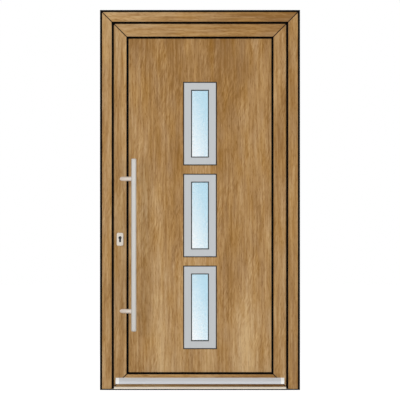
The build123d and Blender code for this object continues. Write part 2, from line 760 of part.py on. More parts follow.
def make_window_glass(z):
    """The two panes of one window."""
    size = glass_size(0)
    outer_back = PANEL_FRONT + GLAZING_SEAL_THICKNESS + PANE_THICKNESS
    inner_back = PANEL_BACK - GLAZING_SEAL_THICKNESS
    with BuildPart() as panes:
        for back in (outer_back, inner_back):
            with BuildSketch(outside_plane(0, back, z)):
                Rectangle(*size)
            extrude(amount=PANE_THICKNESS)
    return panes.part


def make_window_spacers():
    """Spacer bar between the panes of each window."""
    outer = grown(glass_size(0), -SPACER_INSET)
    back = PANEL_BACK - GLAZING_SEAL_THICKNESS - PANE_THICKNESS
    depth = PANEL_THICKNESS - 2 * (GLAZING_SEAL_THICKNESS + PANE_THICKNESS)
    rings = [ring(0, back, z, outer, grown(outer, -SPACER_BAND), depth) for z in WINDOW_HEIGHTS.values()]
    with BuildPart() as spacers:
        add(rings)
    return spacers.part


def make_window_glazing_seals():
    """Seals between the steel frames and the panes, showing as a dark line round the glass."""
    outer = glass_size(0)
    inner = grown((TRIM_WIDTH, TRIM_HEIGHT), -TRIM_BAND - WINDOW_SEAL_BAND)
    rings = [
        ring(0, back, z, outer, inner, GLAZING_SEAL_THICKNESS)
        for z in WINDOW_HEIGHTS.values()
        for back in (PANEL_FRONT + GLAZING_SEAL_THICKNESS, PANEL_BACK)
    ]
    with BuildPart() as seals:
        add(rings)
    return seals.part


def make_window_edge_seals():
    """Sealing bead round the outside of each steel frame, on both faces of the panel."""
    inner = (TRIM_WIDTH, TRIM_HEIGHT)
    outer = grown(inner, WINDOW_SEAL_BAND)
    rings = [
        ring(0, back, z, outer, inner, EDGE_SEAL_RISE)
        for z in WINDOW_HEIGHTS.values()
        for back in (PANEL_FRONT, PANEL_BACK + EDGE_SEAL_RISE)
    ]
    with BuildPart() as seals:
        add(rings)
    return seals.part


def make_pull_bar():
    """Round bar with eased ends."""
    with BuildPart() as bar:
        with Locations((BAR_X, BAR_Y, BAR_CENTRE_Z)):
            Cylinder(BAR_RADIUS, BAR_LENGTH)
        fillet(bar.edges().filter_by(GeomType.CIRCLE), BAR_END_ROUND)
    return bar.part


def make_pull_bar_support(z):
    """Slanted support from the leaf's stile to the bar, cut to the bar's round back."""
    with BuildPart() as support:
        with BuildSketch(Plane(origin=(BAR_X, BAR_Y, z), x_dir=(0, 0, 1), z_dir=(-1, 1, 0))):
            Circle(SUPPORT_RADIUS)
        extrude(amount=2 * SUPPORT_REACH)
        split(bisect_by=Plane(origin=(0, LEAF_FRONT, 0), z_dir=(0, -1, 0)), keep=Keep.TOP)
        with Locations((BAR_X, BAR_Y, z)):
            Cylinder(BAR_RADIUS, 4 * SUPPORT_RADIUS, mode=Mode.SUBTRACT)
    return support.part


def make_cylinder_escutcheon():
    """Rounded plate round the lock cylinder on the outside."""
    centre_z = CYLINDER_Z + CYLINDER_HEAD_RADIUS - CYLINDER_HEIGHT / 2
    with BuildPart() as plate:
        with BuildSketch(outside_plane(LOCK_X, LEAF_FRONT, centre_z)):
            RectangleRounded(ESCUTCHEON_WIDTH, ESCUTCHEON_HEIGHT, ESCUTCHEON_CORNER)
        extrude(amount=ESCUTCHEON_THICKNESS)
        fillet(plate.faces().sort_by(Axis.Y)[0].edges(), ESCUTCHEON_EDGE)
        with BuildSketch(outside_plane(LOCK_X, LEAF_FRONT, CYLINDER_Z)):
            add(profile_cylinder_section(CYLINDER_FIT))
        extrude(amount=ESCUTCHEON_THICKNESS, mode=Mode.SUBTRACT)
    return plate.part


def make_lock_cylinder():
    """Profile cylinder through the stile, with a plug and keyway at each end."""
    front = LEAF_FRONT - ESCUTCHEON_THICKNESS + CYLINDER_RECESS
    back = LEAF_BACK + HANDLE_PLATE_THICKNESS - CYLINDER_RECESS
    with BuildPart() as cylinder:
        with BuildSketch(outside_plane(LOCK_X, back, CYLINDER_Z)):
            add(profile_cylinder_section(0))
        extrude(amount=back - front)
        with BuildSketch(outside_plane(LOCK_X, front, CYLINDER_Z), outside_plane(LOCK_X, back, CYLINDER_Z)):
            Circle(PLUG_RADIUS)
            Circle(PLUG_RADIUS - PLUG_GROOVE, mode=Mode.SUBTRACT)
        extrude(amount=PLUG_GROOVE, both=True, mode=Mode.SUBTRACT)
        with BuildSketch(outside_plane(LOCK_X, front, CYLINDER_Z), outside_plane(LOCK_X, back, CYLINDER_Z)):
            Rectangle(KEYWAY_WIDTH, KEYWAY_HEIGHT)
        extrude(amount=KEYWAY_DEPTH, both=True, mode=Mode.SUBTRACT)
    return cylinder.part


def make_inner_handle_plate():
    """Long plate behind the inside lever, with a hole for the lock cylinder."""
    centre_z = (CYLINDER_Z + LEVER_Z) / 2
    front = LEAF_BACK + HANDLE_PLATE_THICKNESS
    with BuildPart() as plate:
        with BuildSketch(outside_plane(LOCK_X, front, centre_z)):
            RectangleRounded(HANDLE_PLATE_WIDTH, HANDLE_PLATE_HEIGHT, ESCUTCHEON_CORNER)
        extrude(amount=HANDLE_PLATE_THICKNESS)
        fillet(plate.faces().sort_by(Axis.Y)[-1].edges(), ESCUTCHEON_EDGE)
        with BuildSketch(outside_plane(LOCK_X, front, CYLINDER_Z)):
            add(profile_cylinder_section(CYLINDER_FIT))
        extrude(amount=HANDLE_PLATE_THICKNESS, mode=Mode.SUBTRACT)
    return plate.part


def make_inner_lever():
    """Bent round lever on the inside, pointing to the hinges."""
    root_y = LEAF_BACK + HANDLE_PLATE_THICKNESS
    grip_y = LEAF_BACK + LEVER_STANDOFF
    with BuildPart() as lever:
        with BuildLine(Plane.XY.offset(LEVER_Z)):
            FilletPolyline(
                (LOCK_X, root_y),
                (LOCK_X, grip_y),
                (LOCK_X + LEVER_LENGTH, grip_y),
                radius=LEVER_BEND,
            )
        with BuildSketch(Plane(origin=(LOCK_X, root_y, LEVER_Z), x_dir=(1, 0, 0), z_dir=(0, 1, 0))):
            Circle(LEVER_RADIUS)
        sweep()
        fillet(lever.faces().sort_by(Axis.X)[-1].edges(), LEVER_END_ROUND)
    return lever.part


def make_weather_bar():
    """Drip bar between its end caps."""
    half = WEATHER_BAR_END - CAP_LENGTH
    with BuildPart() as bar:
        with BuildSketch(Plane(origin=(-half, 0, 0), x_dir=(0, 1, 0), z_dir=(1, 0, 0))):
            add(weather_bar_section())
        extrude(amount=2 * half)
    return bar.part


def make_weather_bar_caps():
    """Plastic end caps of the drip bar, with the same outline."""
    with BuildPart() as caps:
        for start in (-WEATHER_BAR_END, WEATHER_BAR_END - CAP_LENGTH):
            with BuildSketch(Plane(origin=(start, 0, 0), x_dir=(0, 1, 0), z_dir=(1, 0, 0))):
                add(weather_bar_section())
            extrude(amount=CAP_LENGTH)
    return caps.part


def make_hinge_frame_halves():
    """Frame half of each hinge: plate on the frame, two posts with knuckles, and the pin."""
    knuckle = (HINGE_HEIGHT - LEAF_KNUCKLE_HEIGHT) / 2 - KNUCKLE_GAP
    plate_back = FRAME_BACK + HINGE_PLATE_THICKNESS
    plate_x = HINGE_X + (HINGE_FRAME_PLATE_WIDTH - HINGE_POST_WIDTH) / 2
    with BuildPart() as halves:
        for z in HINGE_HEIGHTS:
            bottom = z - HINGE_HEIGHT / 2
            with Locations((plate_x, (FRAME_BACK + plate_back) / 2, z)):
                Box(HINGE_FRAME_PLATE_WIDTH, HINGE_PLATE_THICKNESS, HINGE_HEIGHT)
            for start in (bottom, bottom + HINGE_HEIGHT - knuckle):
                with BuildSketch(Plane.XY.offset(start)):
                    with Locations((HINGE_X, HINGE_Y)):
                        Circle(KNUCKLE_RADIUS)
                    with Locations((HINGE_X, (FRAME_BACK + HINGE_Y) / 2)):
                        Rectangle(HINGE_POST_WIDTH, HINGE_Y - FRAME_BACK)
                extrude(amount=knuckle)
            with Locations((HINGE_X, HINGE_Y, z)):
                Cylinder(PIN_RADIUS, HINGE_HEIGHT)
        rims = halves.edges().filter_by(GeomType.CIRCLE).filter_by(lambda edge: edge.radius == KNUCKLE_RADIUS)
        ends = [z + end * HINGE_HEIGHT / 2 for z in HINGE_HEIGHTS for end in (-1, 1)]
        outer_rims = [e for e in rims if min(abs(e.center().Z - end) for end in ends) < KNUCKLE_GAP]
        chamfer(outer_rims, HINGE_EDGE_ROUND)
    return halves.part


def make_hinge_leaf_halves():
    """Leaf half of each hinge: plate on the leaf's inside, arm and middle knuckle."""
    plate_x = FLANGE_X - PROFILE_ROUND - HINGE_LEAF_PLATE_WIDTH / 2
    plate_y = LEAF_BACK + HINGE_PLATE_THICKNESS / 2
    arm_start = FLANGE_X - PROFILE_ROUND - HINGE_ARM_THICKNESS
    with BuildPart() as halves:
        for z in HINGE_HEIGHTS:
            with Locations((plate_x, plate_y, z)):
                Box(HINGE_LEAF_PLATE_WIDTH, HINGE_PLATE_THICKNESS, HINGE_HEIGHT)
            with BuildSketch(Plane.XY.offset(z - LEAF_KNUCKLE_HEIGHT / 2)):
                with Locations((HINGE_X, HINGE_Y)):
                    Circle(KNUCKLE_RADIUS)
                with Locations(((arm_start + HINGE_X) / 2, HINGE_Y)):
                    Rectangle(HINGE_X - arm_start, HINGE_ARM_THICKNESS)
                with Locations((HINGE_X, HINGE_Y)):
                    Circle(PIN_RADIUS + PIN_FIT, mode=Mode.SUBTRACT)
            extrude(amount=LEAF_KNUCKLE_HEIGHT)
    return halves.part


def make_nodes():
    """Every named piece of the door."""
    nodes = {
        "frame_jamb_left": make_frame_jamb(-1),
        "frame_jamb_right": make_frame_jamb(1),
        "frame_head": make_frame_head(),
        "frame_edge_seal": make_frame_edge_seal(),
        "frame_gasket": make_frame_gasket(),
        "threshold_base": make_threshold_base(),
        "threshold_cover": make_threshold_cover(),
        "threshold_gasket": make_threshold_gasket(),
        "strike_plates": make_strike_plates(),
        "hinge_frame_halves": make_hinge_frame_halves(),
        "leaf_stile_left": make_leaf_stile(-1),
        "leaf_stile_right": make_leaf_stile(1),
        "leaf_rail_top": make_leaf_rail_top(),
        "leaf_rail_bottom": make_leaf_rail_bottom(),
        "infill_panel": make_infill_panel(),
        "panel_gaskets": make_panel_gaskets(),
        "glazing_bead_left": make_side_bead(-1),
        "glazing_bead_right": make_side_bead(1),
        "glazing_bead_top": make_top_bead(),
        "glazing_bead_bottom": make_bottom_bead(),
        "leaf_gasket": make_leaf_gasket(),
        "window_spacers": make_window_spacers(),
        "window_glazing_seals": make_window_glazing_seals(),
        "window_edge_seals": make_window_edge_seals(),
        "pull_bar": make_pull_bar(),
        "cylinder_escutcheon": make_cylinder_escutcheon(),
        "lock_cylinder": make_lock_cylinder(),
        "inner_handle_plate": make_inner_handle_plate(),
        "inner_lever": make_inner_lever(),
        "lock_faceplate": make_lock_faceplate(),
        "lock_bolts": make_lock_bolts(),
        "weather_bar": make_weather_bar(),
        "weather_bar_caps": make_weather_bar_caps(),
        "hinge_leaf_halves": make_hinge_leaf_halves(),
    }
    for place, z in SUPPORT_HEIGHTS.items():
        nodes[f"pull_bar_support_{place}"] = make_pull_bar_support(z)
    for place, z in WINDOW_HEIGHTS.items():
        nodes[f"window_trim_outer_{place}"] = make_window_trim(z, PANEL_FRONT, -1)
        nodes[f"window_trim_inner_{place}"] = make_window_trim(z, PANEL_BACK, 1)
        nodes[f"window_glass_{place}"] = make_window_glass(z)
    return nodes


os.makedirs("parts", exist_ok=True)
for node_name, node_part in make_nodes().items():
    node_part.label = node_name
    export_step(node_part, f"parts/{node_name}.step")
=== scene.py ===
"""Oak-look front door: finishes, small fittings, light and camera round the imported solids.

Laid out as an add-on and run as a script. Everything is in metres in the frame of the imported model:
+X to the hinges, +Y into the house, +Z up, the floor at zero.
"""

import json
import math

import bpy
import numpy as np
from bpy.props import FloatProperty, FloatVectorProperty, IntProperty, PointerProperty
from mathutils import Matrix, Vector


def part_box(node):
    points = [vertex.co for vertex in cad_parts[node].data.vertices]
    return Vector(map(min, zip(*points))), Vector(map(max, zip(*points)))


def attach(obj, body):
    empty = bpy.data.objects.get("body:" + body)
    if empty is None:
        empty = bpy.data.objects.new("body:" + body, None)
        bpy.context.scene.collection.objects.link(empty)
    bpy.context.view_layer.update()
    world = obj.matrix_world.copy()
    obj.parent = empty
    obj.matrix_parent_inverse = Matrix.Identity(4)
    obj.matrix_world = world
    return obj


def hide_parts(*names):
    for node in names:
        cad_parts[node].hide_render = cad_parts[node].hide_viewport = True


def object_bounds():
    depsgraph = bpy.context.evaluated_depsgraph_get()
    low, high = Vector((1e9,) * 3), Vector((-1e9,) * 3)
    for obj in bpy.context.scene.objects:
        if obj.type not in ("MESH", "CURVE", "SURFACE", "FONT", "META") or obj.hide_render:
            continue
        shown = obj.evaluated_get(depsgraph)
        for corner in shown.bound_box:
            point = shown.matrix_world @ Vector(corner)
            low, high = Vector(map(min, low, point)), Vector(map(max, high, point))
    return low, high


bl_info = {
    "name": "Oak front door",
    "version": (1, 0, 0),
    "blender": (4, 5, 0),
    "location": "View3D > Sidebar > Front door",
    "description": "Finishes and small fittings of an oak-look front door in its frame",
    "category": "Object",
}

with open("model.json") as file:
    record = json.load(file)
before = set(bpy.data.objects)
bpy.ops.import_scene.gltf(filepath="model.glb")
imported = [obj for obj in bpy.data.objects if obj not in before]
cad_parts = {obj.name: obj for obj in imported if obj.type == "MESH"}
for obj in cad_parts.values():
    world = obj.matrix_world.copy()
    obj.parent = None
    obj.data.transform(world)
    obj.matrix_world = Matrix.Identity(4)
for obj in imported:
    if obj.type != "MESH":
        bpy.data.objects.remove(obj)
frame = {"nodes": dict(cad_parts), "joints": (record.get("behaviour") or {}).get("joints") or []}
NODES = frame["nodes"]
CAD_LOW, CAD_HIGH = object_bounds()
# Where along X the upright line lies that the leaf swings round
HINGE_X = next(joint["pos_m"][0] for joint in frame["joints"] if joint["name"] == "leaf_swing")

MM = 0.001
PLACES = ("upper", "middle", "lower")

# Welded mitres in the plane of the door, as (sign, sum) with |x| + sign * z = sum.
# The top one runs through the outer corners of frame, leaf and beads alike.
FRAME_LOW, FRAME_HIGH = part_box("frame_head")
FOOT_LOW, FOOT_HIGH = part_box("leaf_rail_bottom")
TOP_SEAM = (-1, FRAME_HIGH[0] - FRAME_HIGH[2])
FOOT_SEAM = (1, FOOT_HIGH[0] + FOOT_LOW[2])

# Radius of a hinge's knuckles, and half the height from end to end of them
KNUCKLE = 10 * MM
HINGE_HALF = 55 * MM
# How far a fitting reaches into what carries it, so that no gap shows
SINK = 0.5 * MM
# The floor lies this far under the door, so that the two faces don't meet
FLOOR_DROP = 0.2 * MM

# Points of one ring, and of the rounded edges and ribs
ROUND_STEPS = 48
EDGE_STEPS = 8
COLLAR_STEPS = 6
RIB_STEPS = 7
TURN = np.linspace(0.0, 2 * np.pi, ROUND_STEPS, endpoint=False)
# An edge that bends more than this stays sharp
SHARP_ANGLE = math.radians(35)

# Share of its radius by which a screw's star recess swings in and out
STAR_SWING = 0.14
# Rings of a screw head from under its rim to the middle of its recess: share of the rim's radius, share of
# the star's radius, and depth as a share of the recess's depth
SCREW_RINGS = np.array(
    [
        (1.0, 0.0, 0.6),
        (1.0, 0.0, 0.15),
        (0.92, 0.0, 0.0),
        (0.5, 0.5, 0.0),
        (0.0, 1.0, 0.0),
        (0.0, 0.94, 0.9),
        (0.0, 0.55, 1.0),
        (0.0, 0.08, 1.0),
    ]
)

# Sockets of a colour Mix node, whose names come again for every data type
MIX_FACTOR = 0
MIX_A = 6
MIX_B = 7
MIX_RESULT = 2

# Noise lies round this value
NOISE_MIDDLE = 0.5
# Metres between the places that two layers of the oak print take in the noise, so that they don't line up
LAYER_STEP = 0.37
# Noise at which a pore begins and is full, and the part of the surface that pores darken on average
PORE_RANGE = (0.54, 0.68)
PORE_COVER = 0.16
# Noise at which a patch of flecks begins and is full
PATCH_RANGE = (0.5, 0.65)
# The dark line of a weld seam is full within this part of its width and fades outside it
SEAM_FULL = 0.8


def linear(code):
    """An sRGB hex colour as linear red, green, blue and alpha."""
    channels = np.array([int(code[i : i + 2], 16) for i in (1, 3, 5)]) / 255
    light = np.where(channels <= 0.04045, channels / 12.92, ((channels + 0.055) / 1.055) ** 2.4)
    return (*[float(c) for c in light], 1.0)


def colour_property(name, description, code):
    """A colour setting whose default is an sRGB hex value."""
    return FloatVectorProperty(
        name=name, description=description, subtype="COLOR", size=4, min=0.0, max=1.0, default=linear(code)
    )


def length_property(name, description, default):
    """A length setting in metres."""
    return FloatProperty(
        name=name, description=description, subtype="DISTANCE", unit="LENGTH", min=0.0, default=default
    )


def share_property(name, description, default):
    """A share setting from 0 to 1."""
    return FloatProperty(
        name=name, description=description, subtype="FACTOR", min=0.0, max=1.0, default=default
    )


class OakSettings(bpy.types.PropertyGroup):
    """Colours and grain of the oak-print foil."""

    pore: colour_property("Pore", "Darkest lines of the print", "#835A22")
    dark: colour_property("Dark grain", "Late wood between the light lines", "#946D3A")
    middle: colour_property("Ground", "Main colour of the print", "#A67F4C")
    light: colour_property("Light grain", "Early wood and light bands", "#C8A778")
    seam: colour_property("Weld seam", "Colour in the groove of a welded mitre", "#2B1704")
    band_width: length_property("Band width", "Width of the broad light and dark bands", 120 * MM)
    band_length: length_property("Band length", "Length of the broad light and dark bands", 950 * MM)
    streak_width: length_property("Streak width", "Width of one long streak of grain", 12 * MM)
    streak_length: length_property("Streak length", "Length of one long streak of grain", 220 * MM)
    line_width: length_property("Line width", "Width of one short line of grain", 8 * MM)
    line_length: length_property("Line length", "Length of one short line of grain", 80 * MM)
    pore_width: length_property("Pore width", "Width of a pore, coarser than real so that it shows", 1.8 * MM)
    pore_length: length_property("Pore length", "Length of a pore", 26 * MM)
    pore_relief: length_property("Pore relief", "Height of the noise that embosses the pores", 0.2 * MM)
    fleck_width: length_property("Fleck width", "Width of one slanting fleck", 9 * MM)
    fleck_length: length_property("Fleck length", "Length of one slanting fleck", 55 * MM)
    fleck_tilt: FloatProperty(
        name="Fleck tilt", description="Slant of the flecks to the grain", subtype="ANGLE", default=0.28
    )
    patch_width: length_property("Patch width", "Width of a patch of flecks", 72 * MM)
    patch_length: length_property("Patch length", "Length of a patch of flecks", 237.5 * MM)
    fade_width: length_property("Fade width", "Width of a patch of paler or stronger colour", 40 * MM)
    fade_length: length_property("Fade length", "Length of a patch of paler or stronger colour", 200 * MM)
    seam_width: length_property("Seam width", "Width of the dark line at a welded mitre", 6 * MM)
    band_share: share_property("Band share", "Part of the tone that the bands give", 0.38)
    streak_share: share_property("Streak share", "Part of the tone that the streaks give", 0.31)
    line_share: share_property("Line share", "Part of the tone that the short lines give", 0.15)
    pore_share: share_property("Pore share", "How much a pore darkens the tone", 0.12)
    fleck_share: share_property("Fleck share", "Part of the tone that the flecks give in their patches", 0.25)
    fade_share: share_property("Fade share", "How far the colour pales or strengthens in patches", 0.11)
    spread: share_property("Spread", "Step of tone between colours, less for more contrast", 0.053)
    gloss_low: share_property("Lowest roughness", "Roughness of the lacquer between the pores", 0.42)
    gloss_high: share_property("Highest roughness", "Roughness of the lacquer in the pores", 0.62)


class MetalSettings(bpy.types.PropertyGroup):
    """Colours of the metal, rubber and plastic parts."""

    steel: colour_property("Stainless steel", "Brushed window frames, handle plate and lever", "#B8BBBD")
    bar_steel: colour_property("Bar steel", "Satin pull bar", "#C1BFBA")
    # Painted light: much paler than the bar's steel, to make up for the shade on the supports
    support_steel_painted_light: colour_property("Support steel", "Bead-blasted supports of the pull bar", "#E6DCD1")
    warm_steel: colour_property("Lock plate steel", "Satin plate round the lock cylinder", "#D3CBC0")
    aluminium: colour_property("Aluminium", "Anodised drip bar and spacers", "#CDD0D4")
    zinc: colour_property("Zinc plate", "Lock strip, bolts, strike plates and screws", "#B4B5B3")
    paint: colour_property("Hinge paint", "Silver paint on the hinges", "#BEBFC1")
    cream: colour_property("Threshold coat", "Cream powder coat of the threshold", "#F9EEDB")
    rubber: colour_property("Gasket rubber", "Black rubber of gaskets and seals", "#050505")
    grey_rubber: colour_property("Window seal", "Dark grey sealing round the windows", "#262422")
    white: colour_property("White plastic", "End caps of the drip bar", "#F4F6F4")
    cylinder: colour_property("Cylinder coat", "Dark coating of the lock cylinder", "#1E1F27")
    brush_line: length_property("Brush line", "Width of a brush line, coarser than real to show", 1.2 * MM)


class GlassSettings(bpy.types.PropertyGroup):
    """Painted reflection and stipple of the satin glass."""

    # Painted reflection: pale blue at the upper hinge-side corner, fading to the plain glass colour at the
    # other
    painted_reflection: colour_property("Tint", "Colour at the upper hinge-side corner", "#D9EEF7")
    pale: colour_property("Pale", "Colour at the lower lock-side corner", "#FFFFFF")
    roughness: share_property("Satin", "Roughness of the satin face", 0.1)
    clear: share_property("Clear share", "Share of light let through", 0.98)
    reflection_across: share_property("Run across", "Part of the tint that comes from lock to hinge side", 0.62)
    reflection_up: share_property("Run up", "Part of the tint that comes from foot to top of a pane", 0.7)
    stipple: length_property("Stipple", "Size of one dot of the stippled face", 8 * MM)
    stipple_share: share_property("Stipple share", "How much the stipple changes the tint", 1.0)


class FittingSettings(bpy.types.PropertyGroup):
    """Sizes of the small fittings."""

    screw_radius: length_property("Screw radius", "Radius of a screw's head", 4.2 * MM)
    screw_dome: length_property("Screw dome", "Rise of a screw's head", 0.5 * MM)
    drive_radius: length_property("Drive radius", "Radius of a screw's star recess", 2.0 * MM)
    drive_depth: length_property("Drive depth", "Depth of a screw's star recess", 1.4 * MM)
    lobes: IntProperty(name="Lobes", description="Points of a screw's star recess", min=3, max=8, default=6)
    cap_rise: length_property("Cap rise", "Height of a domed hinge cap", 2.4 * MM)
    cap_inset: length_property("Cap inset", "How far a hinge cap stays inside its knuckle", 2.2 * MM)
    bar_plug: length_property("Bar plug", "Length of the pull bar's end plugs", 9 * MM)
    bar_round: length_property("Bar round", "Rounding of the pull bar's ends", 6 * MM)
    bar_seam: length_property("Bar seam", "Depth of the groove between the bar and its end plugs", 0.6 * MM)
    collar_radius: length_property("Collar radius", "Radius of the lever's collar", 13 * MM)
    collar_inner: length_property("Collar inner radius", "Radius of the lever inside its collar", 9.2 * MM)
    collar_height: length_property("Collar height", "Height of the lever's collar", 5 * MM)
    collar_round: length_property("Collar round", "Rounding of the collar's edge", 2 * MM)
    rib_width: length_property("Rib width", "Width of a tread rib", 2.4 * MM)
    rib_height: length_property("Rib height", "Height of a tread rib", 0.8 * MM)
    rib_pitch: length_property("Rib pitch", "Distance between tread ribs", 5.5 * MM)
    rib_margin: length_property("Rib margin", "How far the ribs end before the ends of the tread", 8 * MM)


class StageSettings(bpy.types.PropertyGroup):
    """Camera, floor and light."""

    lens: FloatProperty(
        name="Lens", description="Focal length, long for a flat view", unit="CAMERA", default=400.0
    )
    view_width: length_property("View width", "Width that the picture shows at the door's face", 2.2)
    view_end: length_property("View end", "Distance at which the camera stops seeing", 500.0)
    sky: FloatProperty(name="Sky", description="Strength of the even white light all round", default=0.6)
    lamp: FloatProperty(
        name="Lamps", description="Power of each soft lamp", subtype="POWER", unit="POWER", default=80.0
    )
    lamp_size: length_property("Lamp size", "Side of each square lamp", 2.4)
    lamp_side: length_property("Lamp side", "How far the lamps stand to the left and right", 3.6)
    lamp_away: length_property("Lamp away", "How far the lamps stand before and behind the door", 4.2)
    lamp_height: length_property("Lamp height", "Height of the lamps' middles", 2.0)
    floor: colour_property("Floor", "Colour of the pale floor", "#F2F2F2")
    floor_reach: length_property("Floor reach", "How far the floor goes on from the door", 30.0)
    floor_glow: share_property("Floor glow", "White that the floor sends out where it is seen", 0.88)
    floor_shade: share_property("Floor shade", "Part of its colour that takes light where it is seen", 0.25)


def add_node(tree, kind, settings=None, inputs=None):
    """Add one shader node: settings are its attributes, inputs are values or sockets to link."""
    added = tree.nodes.new(kind)
    for name, value in (settings or {}).items():
        setattr(added, name, value)
    for key, value in (inputs or {}).items():
        if isinstance(value, bpy.types.NodeSocket):
            tree.links.new(value, added.inputs[key])
        else:
            added.inputs[key].default_value = value
    return added


def new_material(name, constants):
    """A material with its shader's constant sockets set, as (material, node tree, shader)."""
    material = bpy.data.materials.new(name)
    material.use_nodes = True
    tree = material.node_tree
    shader = tree.nodes["Principled BSDF"]
    for socket, value in constants.items():
        shader.inputs[socket].default_value = value
    return material, tree, shader


def oak_foil(name, oak, across=False, shift=(0.0, 0.0, 0.0), seams=(), painted_shade_slope=(0.0, 0.0, 0.0), painted_shade_offset=0.0):
    """Oak print on embossed foil: bands, long streaks, short lines, pores, slanting flecks and faded patches.

    The foil is a matte lacquered print, so its gloss is low and its relief a tenth of a millimetre.
    The grain runs along Z, or along X when across. shift is the profile's place in the print, and seams are
    mitre lines, drawn dark in their groove. painted_shade_slope is painted light and shade: how much lighter
    the colour gets per metre along X, Y and Z from the middle of the door. painted_shade_offset is painted
    light for the whole profile, and painted shade where it is below zero.
    """
    material, tree, shader = new_material(name, {"Specular IOR Level": 0.3})
    place = add_node(tree, "ShaderNodeTexCoord").outputs["Object"]
    turn = math.pi / 2 if across else 0.0
    axes = add_node(tree, "ShaderNodeSeparateXYZ", inputs={"Vector": place}).outputs

    # Width, length, tilt, detail and distortion of each layer of the print
    layers = {
        "band": (oak.band_width, oak.band_length, 0.0, 1.0, 0.2),
        "streak": (oak.streak_width, oak.streak_length, 0.0, 1.0, 0.1),
        "line": (oak.line_width, oak.line_length, 0.0, 1.0, 0.05),
        "pore": (oak.pore_width, oak.pore_length, 0.0, 1.0, 0.0),
        "fleck": (oak.fleck_width, oak.fleck_length, oak.fleck_tilt, 1.0, 0.6),
        "patch": (oak.patch_width, oak.patch_length, 0.0, 0.0, 0.3),
        "fade": (oak.fade_width, oak.fade_length, 0.0, 1.0, 0.2),
    }
    tones = {}
    for number, (layer, (width, length, tilt, detail, distortion)) in enumerate(layers.items()):
        stretched = add_node(
            tree,
            "ShaderNodeMapping",
            {"vector_type": "TEXTURE"},
            {
                "Vector": place,
                "Location": tuple(s + number * LAYER_STEP for s in shift),
                "Rotation": (0.0, turn + tilt, 0.0),
                "Scale": (width, width, length),
            },
        )
        noise = add_node(
            tree,
            "ShaderNodeTexNoise",
            inputs={
                "Vector": stretched.outputs["Vector"],
                "Scale": 1.0,
                "Detail": detail,
                "Roughness": 0.5,
                "Distortion": distortion,
            },
        )
        tones[layer] = noise.outputs["Fac"]

    # Painted light and shade: the tone starts from a slope along X, Y and Z
    tone = add_node(
        tree, "ShaderNodeVectorMath", {"operation": "DOT_PRODUCT"}, {0: place, 1: painted_shade_slope}
    ).outputs["Value"]
    shares = {"band": oak.band_share, "streak": oak.streak_share, "line": oak.line_share}
    for layer, share in shares.items():
        tone = add_node(
            tree, "ShaderNodeMath", {"operation": "MULTIPLY_ADD"}, {0: tones[layer], 1: share, 2: tone}
        ).outputs[0]

    # Pores are short dark strokes, so only the peaks of their noise count
    pores = add_node(
        tree,
        "ShaderNodeMapRange",
        inputs={"Value": tones["pore"], "From Min": PORE_RANGE[0], "From Max": PORE_RANGE[1]},
    ).outputs["Result"]
    tone = add_node(
        tree, "ShaderNodeMath", {"operation": "MULTIPLY_ADD"}, {0: pores, 1: -oak.pore_share, 2: tone}
    ).outputs[0]

    # Flecks lighten and darken the print, in their patches only
    patch = add_node(
        tree,
        "ShaderNodeMapRange",
        inputs={
            "Value": tones["patch"],
            "From Min": PATCH_RANGE[0],
            "From Max": PATCH_RANGE[1],
            "To Max": oak.fleck_share,
        },
    ).outputs["Result"]
    fleck = add_node(
        tree, "ShaderNodeMath", {"operation": "SUBTRACT"}, {0: tones["fleck"], 1: NOISE_MIDDLE}
    ).outputs[0]
    tone = add_node(
        tree, "ShaderNodeMath", {"operation": "MULTIPLY_ADD"}, {0: fleck, 1: patch, 2: tone}
    ).outputs[0]

    # Each colour's place on the ramp, in spreads from the tone of the ground
    steps = ((-3.0, oak.pore), (-1.5, oak.dark), (0.0, oak.middle), (3.5, oak.light))
    mean_tone = sum(shares.values()) * NOISE_MIDDLE - PORE_COVER * oak.pore_share
    # Painted shade: the slope is zero at mid-height of the door, and the offset moves the whole ramp
    ground = mean_tone + painted_shade_slope[2] * CAD_HIGH[2] / 2 - painted_shade_offset
    ramp = add_node(tree, "ShaderNodeValToRGB", inputs={"Fac": tone})
    elements = ramp.color_ramp.elements
    while len(elements) < len(steps):
        elements.new(ground)
    for element, (step, stop_colour) in zip(elements, steps):
        element.position = ground + step * oak.spread
        element.color = stop_colour

    # Patches of the print are a little paler or stronger in colour than the rest
    strength = add_node(
        tree,
        "ShaderNodeMapRange",
        inputs={"Value": tones["fade"], "To Min": 1 - oak.fade_share, "To Max": 1 + oak.fade_share},
    ).outputs["Result"]
    colour = add_node(
        tree, "ShaderNodeHueSaturation", inputs={"Saturation": strength, "Color": ramp.outputs["Color"]}
    ).outputs["Color"]

    # A seam at 45 degrees is the square root of 2 times as wide along an axis as straight across
    half_seam = oak.seam_width / 2 * math.sqrt(2)
    side = add_node(tree, "ShaderNodeMath", {"operation": "ABSOLUTE"}, {0: axes["X"]}).outputs[0]
    for sign, total in seams:
        reach = add_node(
            tree, "ShaderNodeMath", {"operation": "MULTIPLY_ADD"}, {0: axes["Z"], 1: float(sign), 2: side}
        ).outputs[0]
        off = add_node(
            tree, "ShaderNodeMath", {"operation": "SUBTRACT"}, {0: reach, 1: float(total)}
        ).outputs[0]
        off = add_node(tree, "ShaderNodeMath", {"operation": "ABSOLUTE"}, {0: off}).outputs[0]
        inside = add_node(
            tree,
            "ShaderNodeMapRange",
            inputs={"Value": off, "From Min": half_seam, "From Max": half_seam * SEAM_FULL},
        ).outputs["Result"]
        colour = add_node(
            tree,
            "ShaderNodeMix",
            {"data_type": "RGBA"},
            {MIX_FACTOR: inside, MIX_A: colour, MIX_B: tuple(oak.seam)},
        ).outputs[MIX_RESULT]

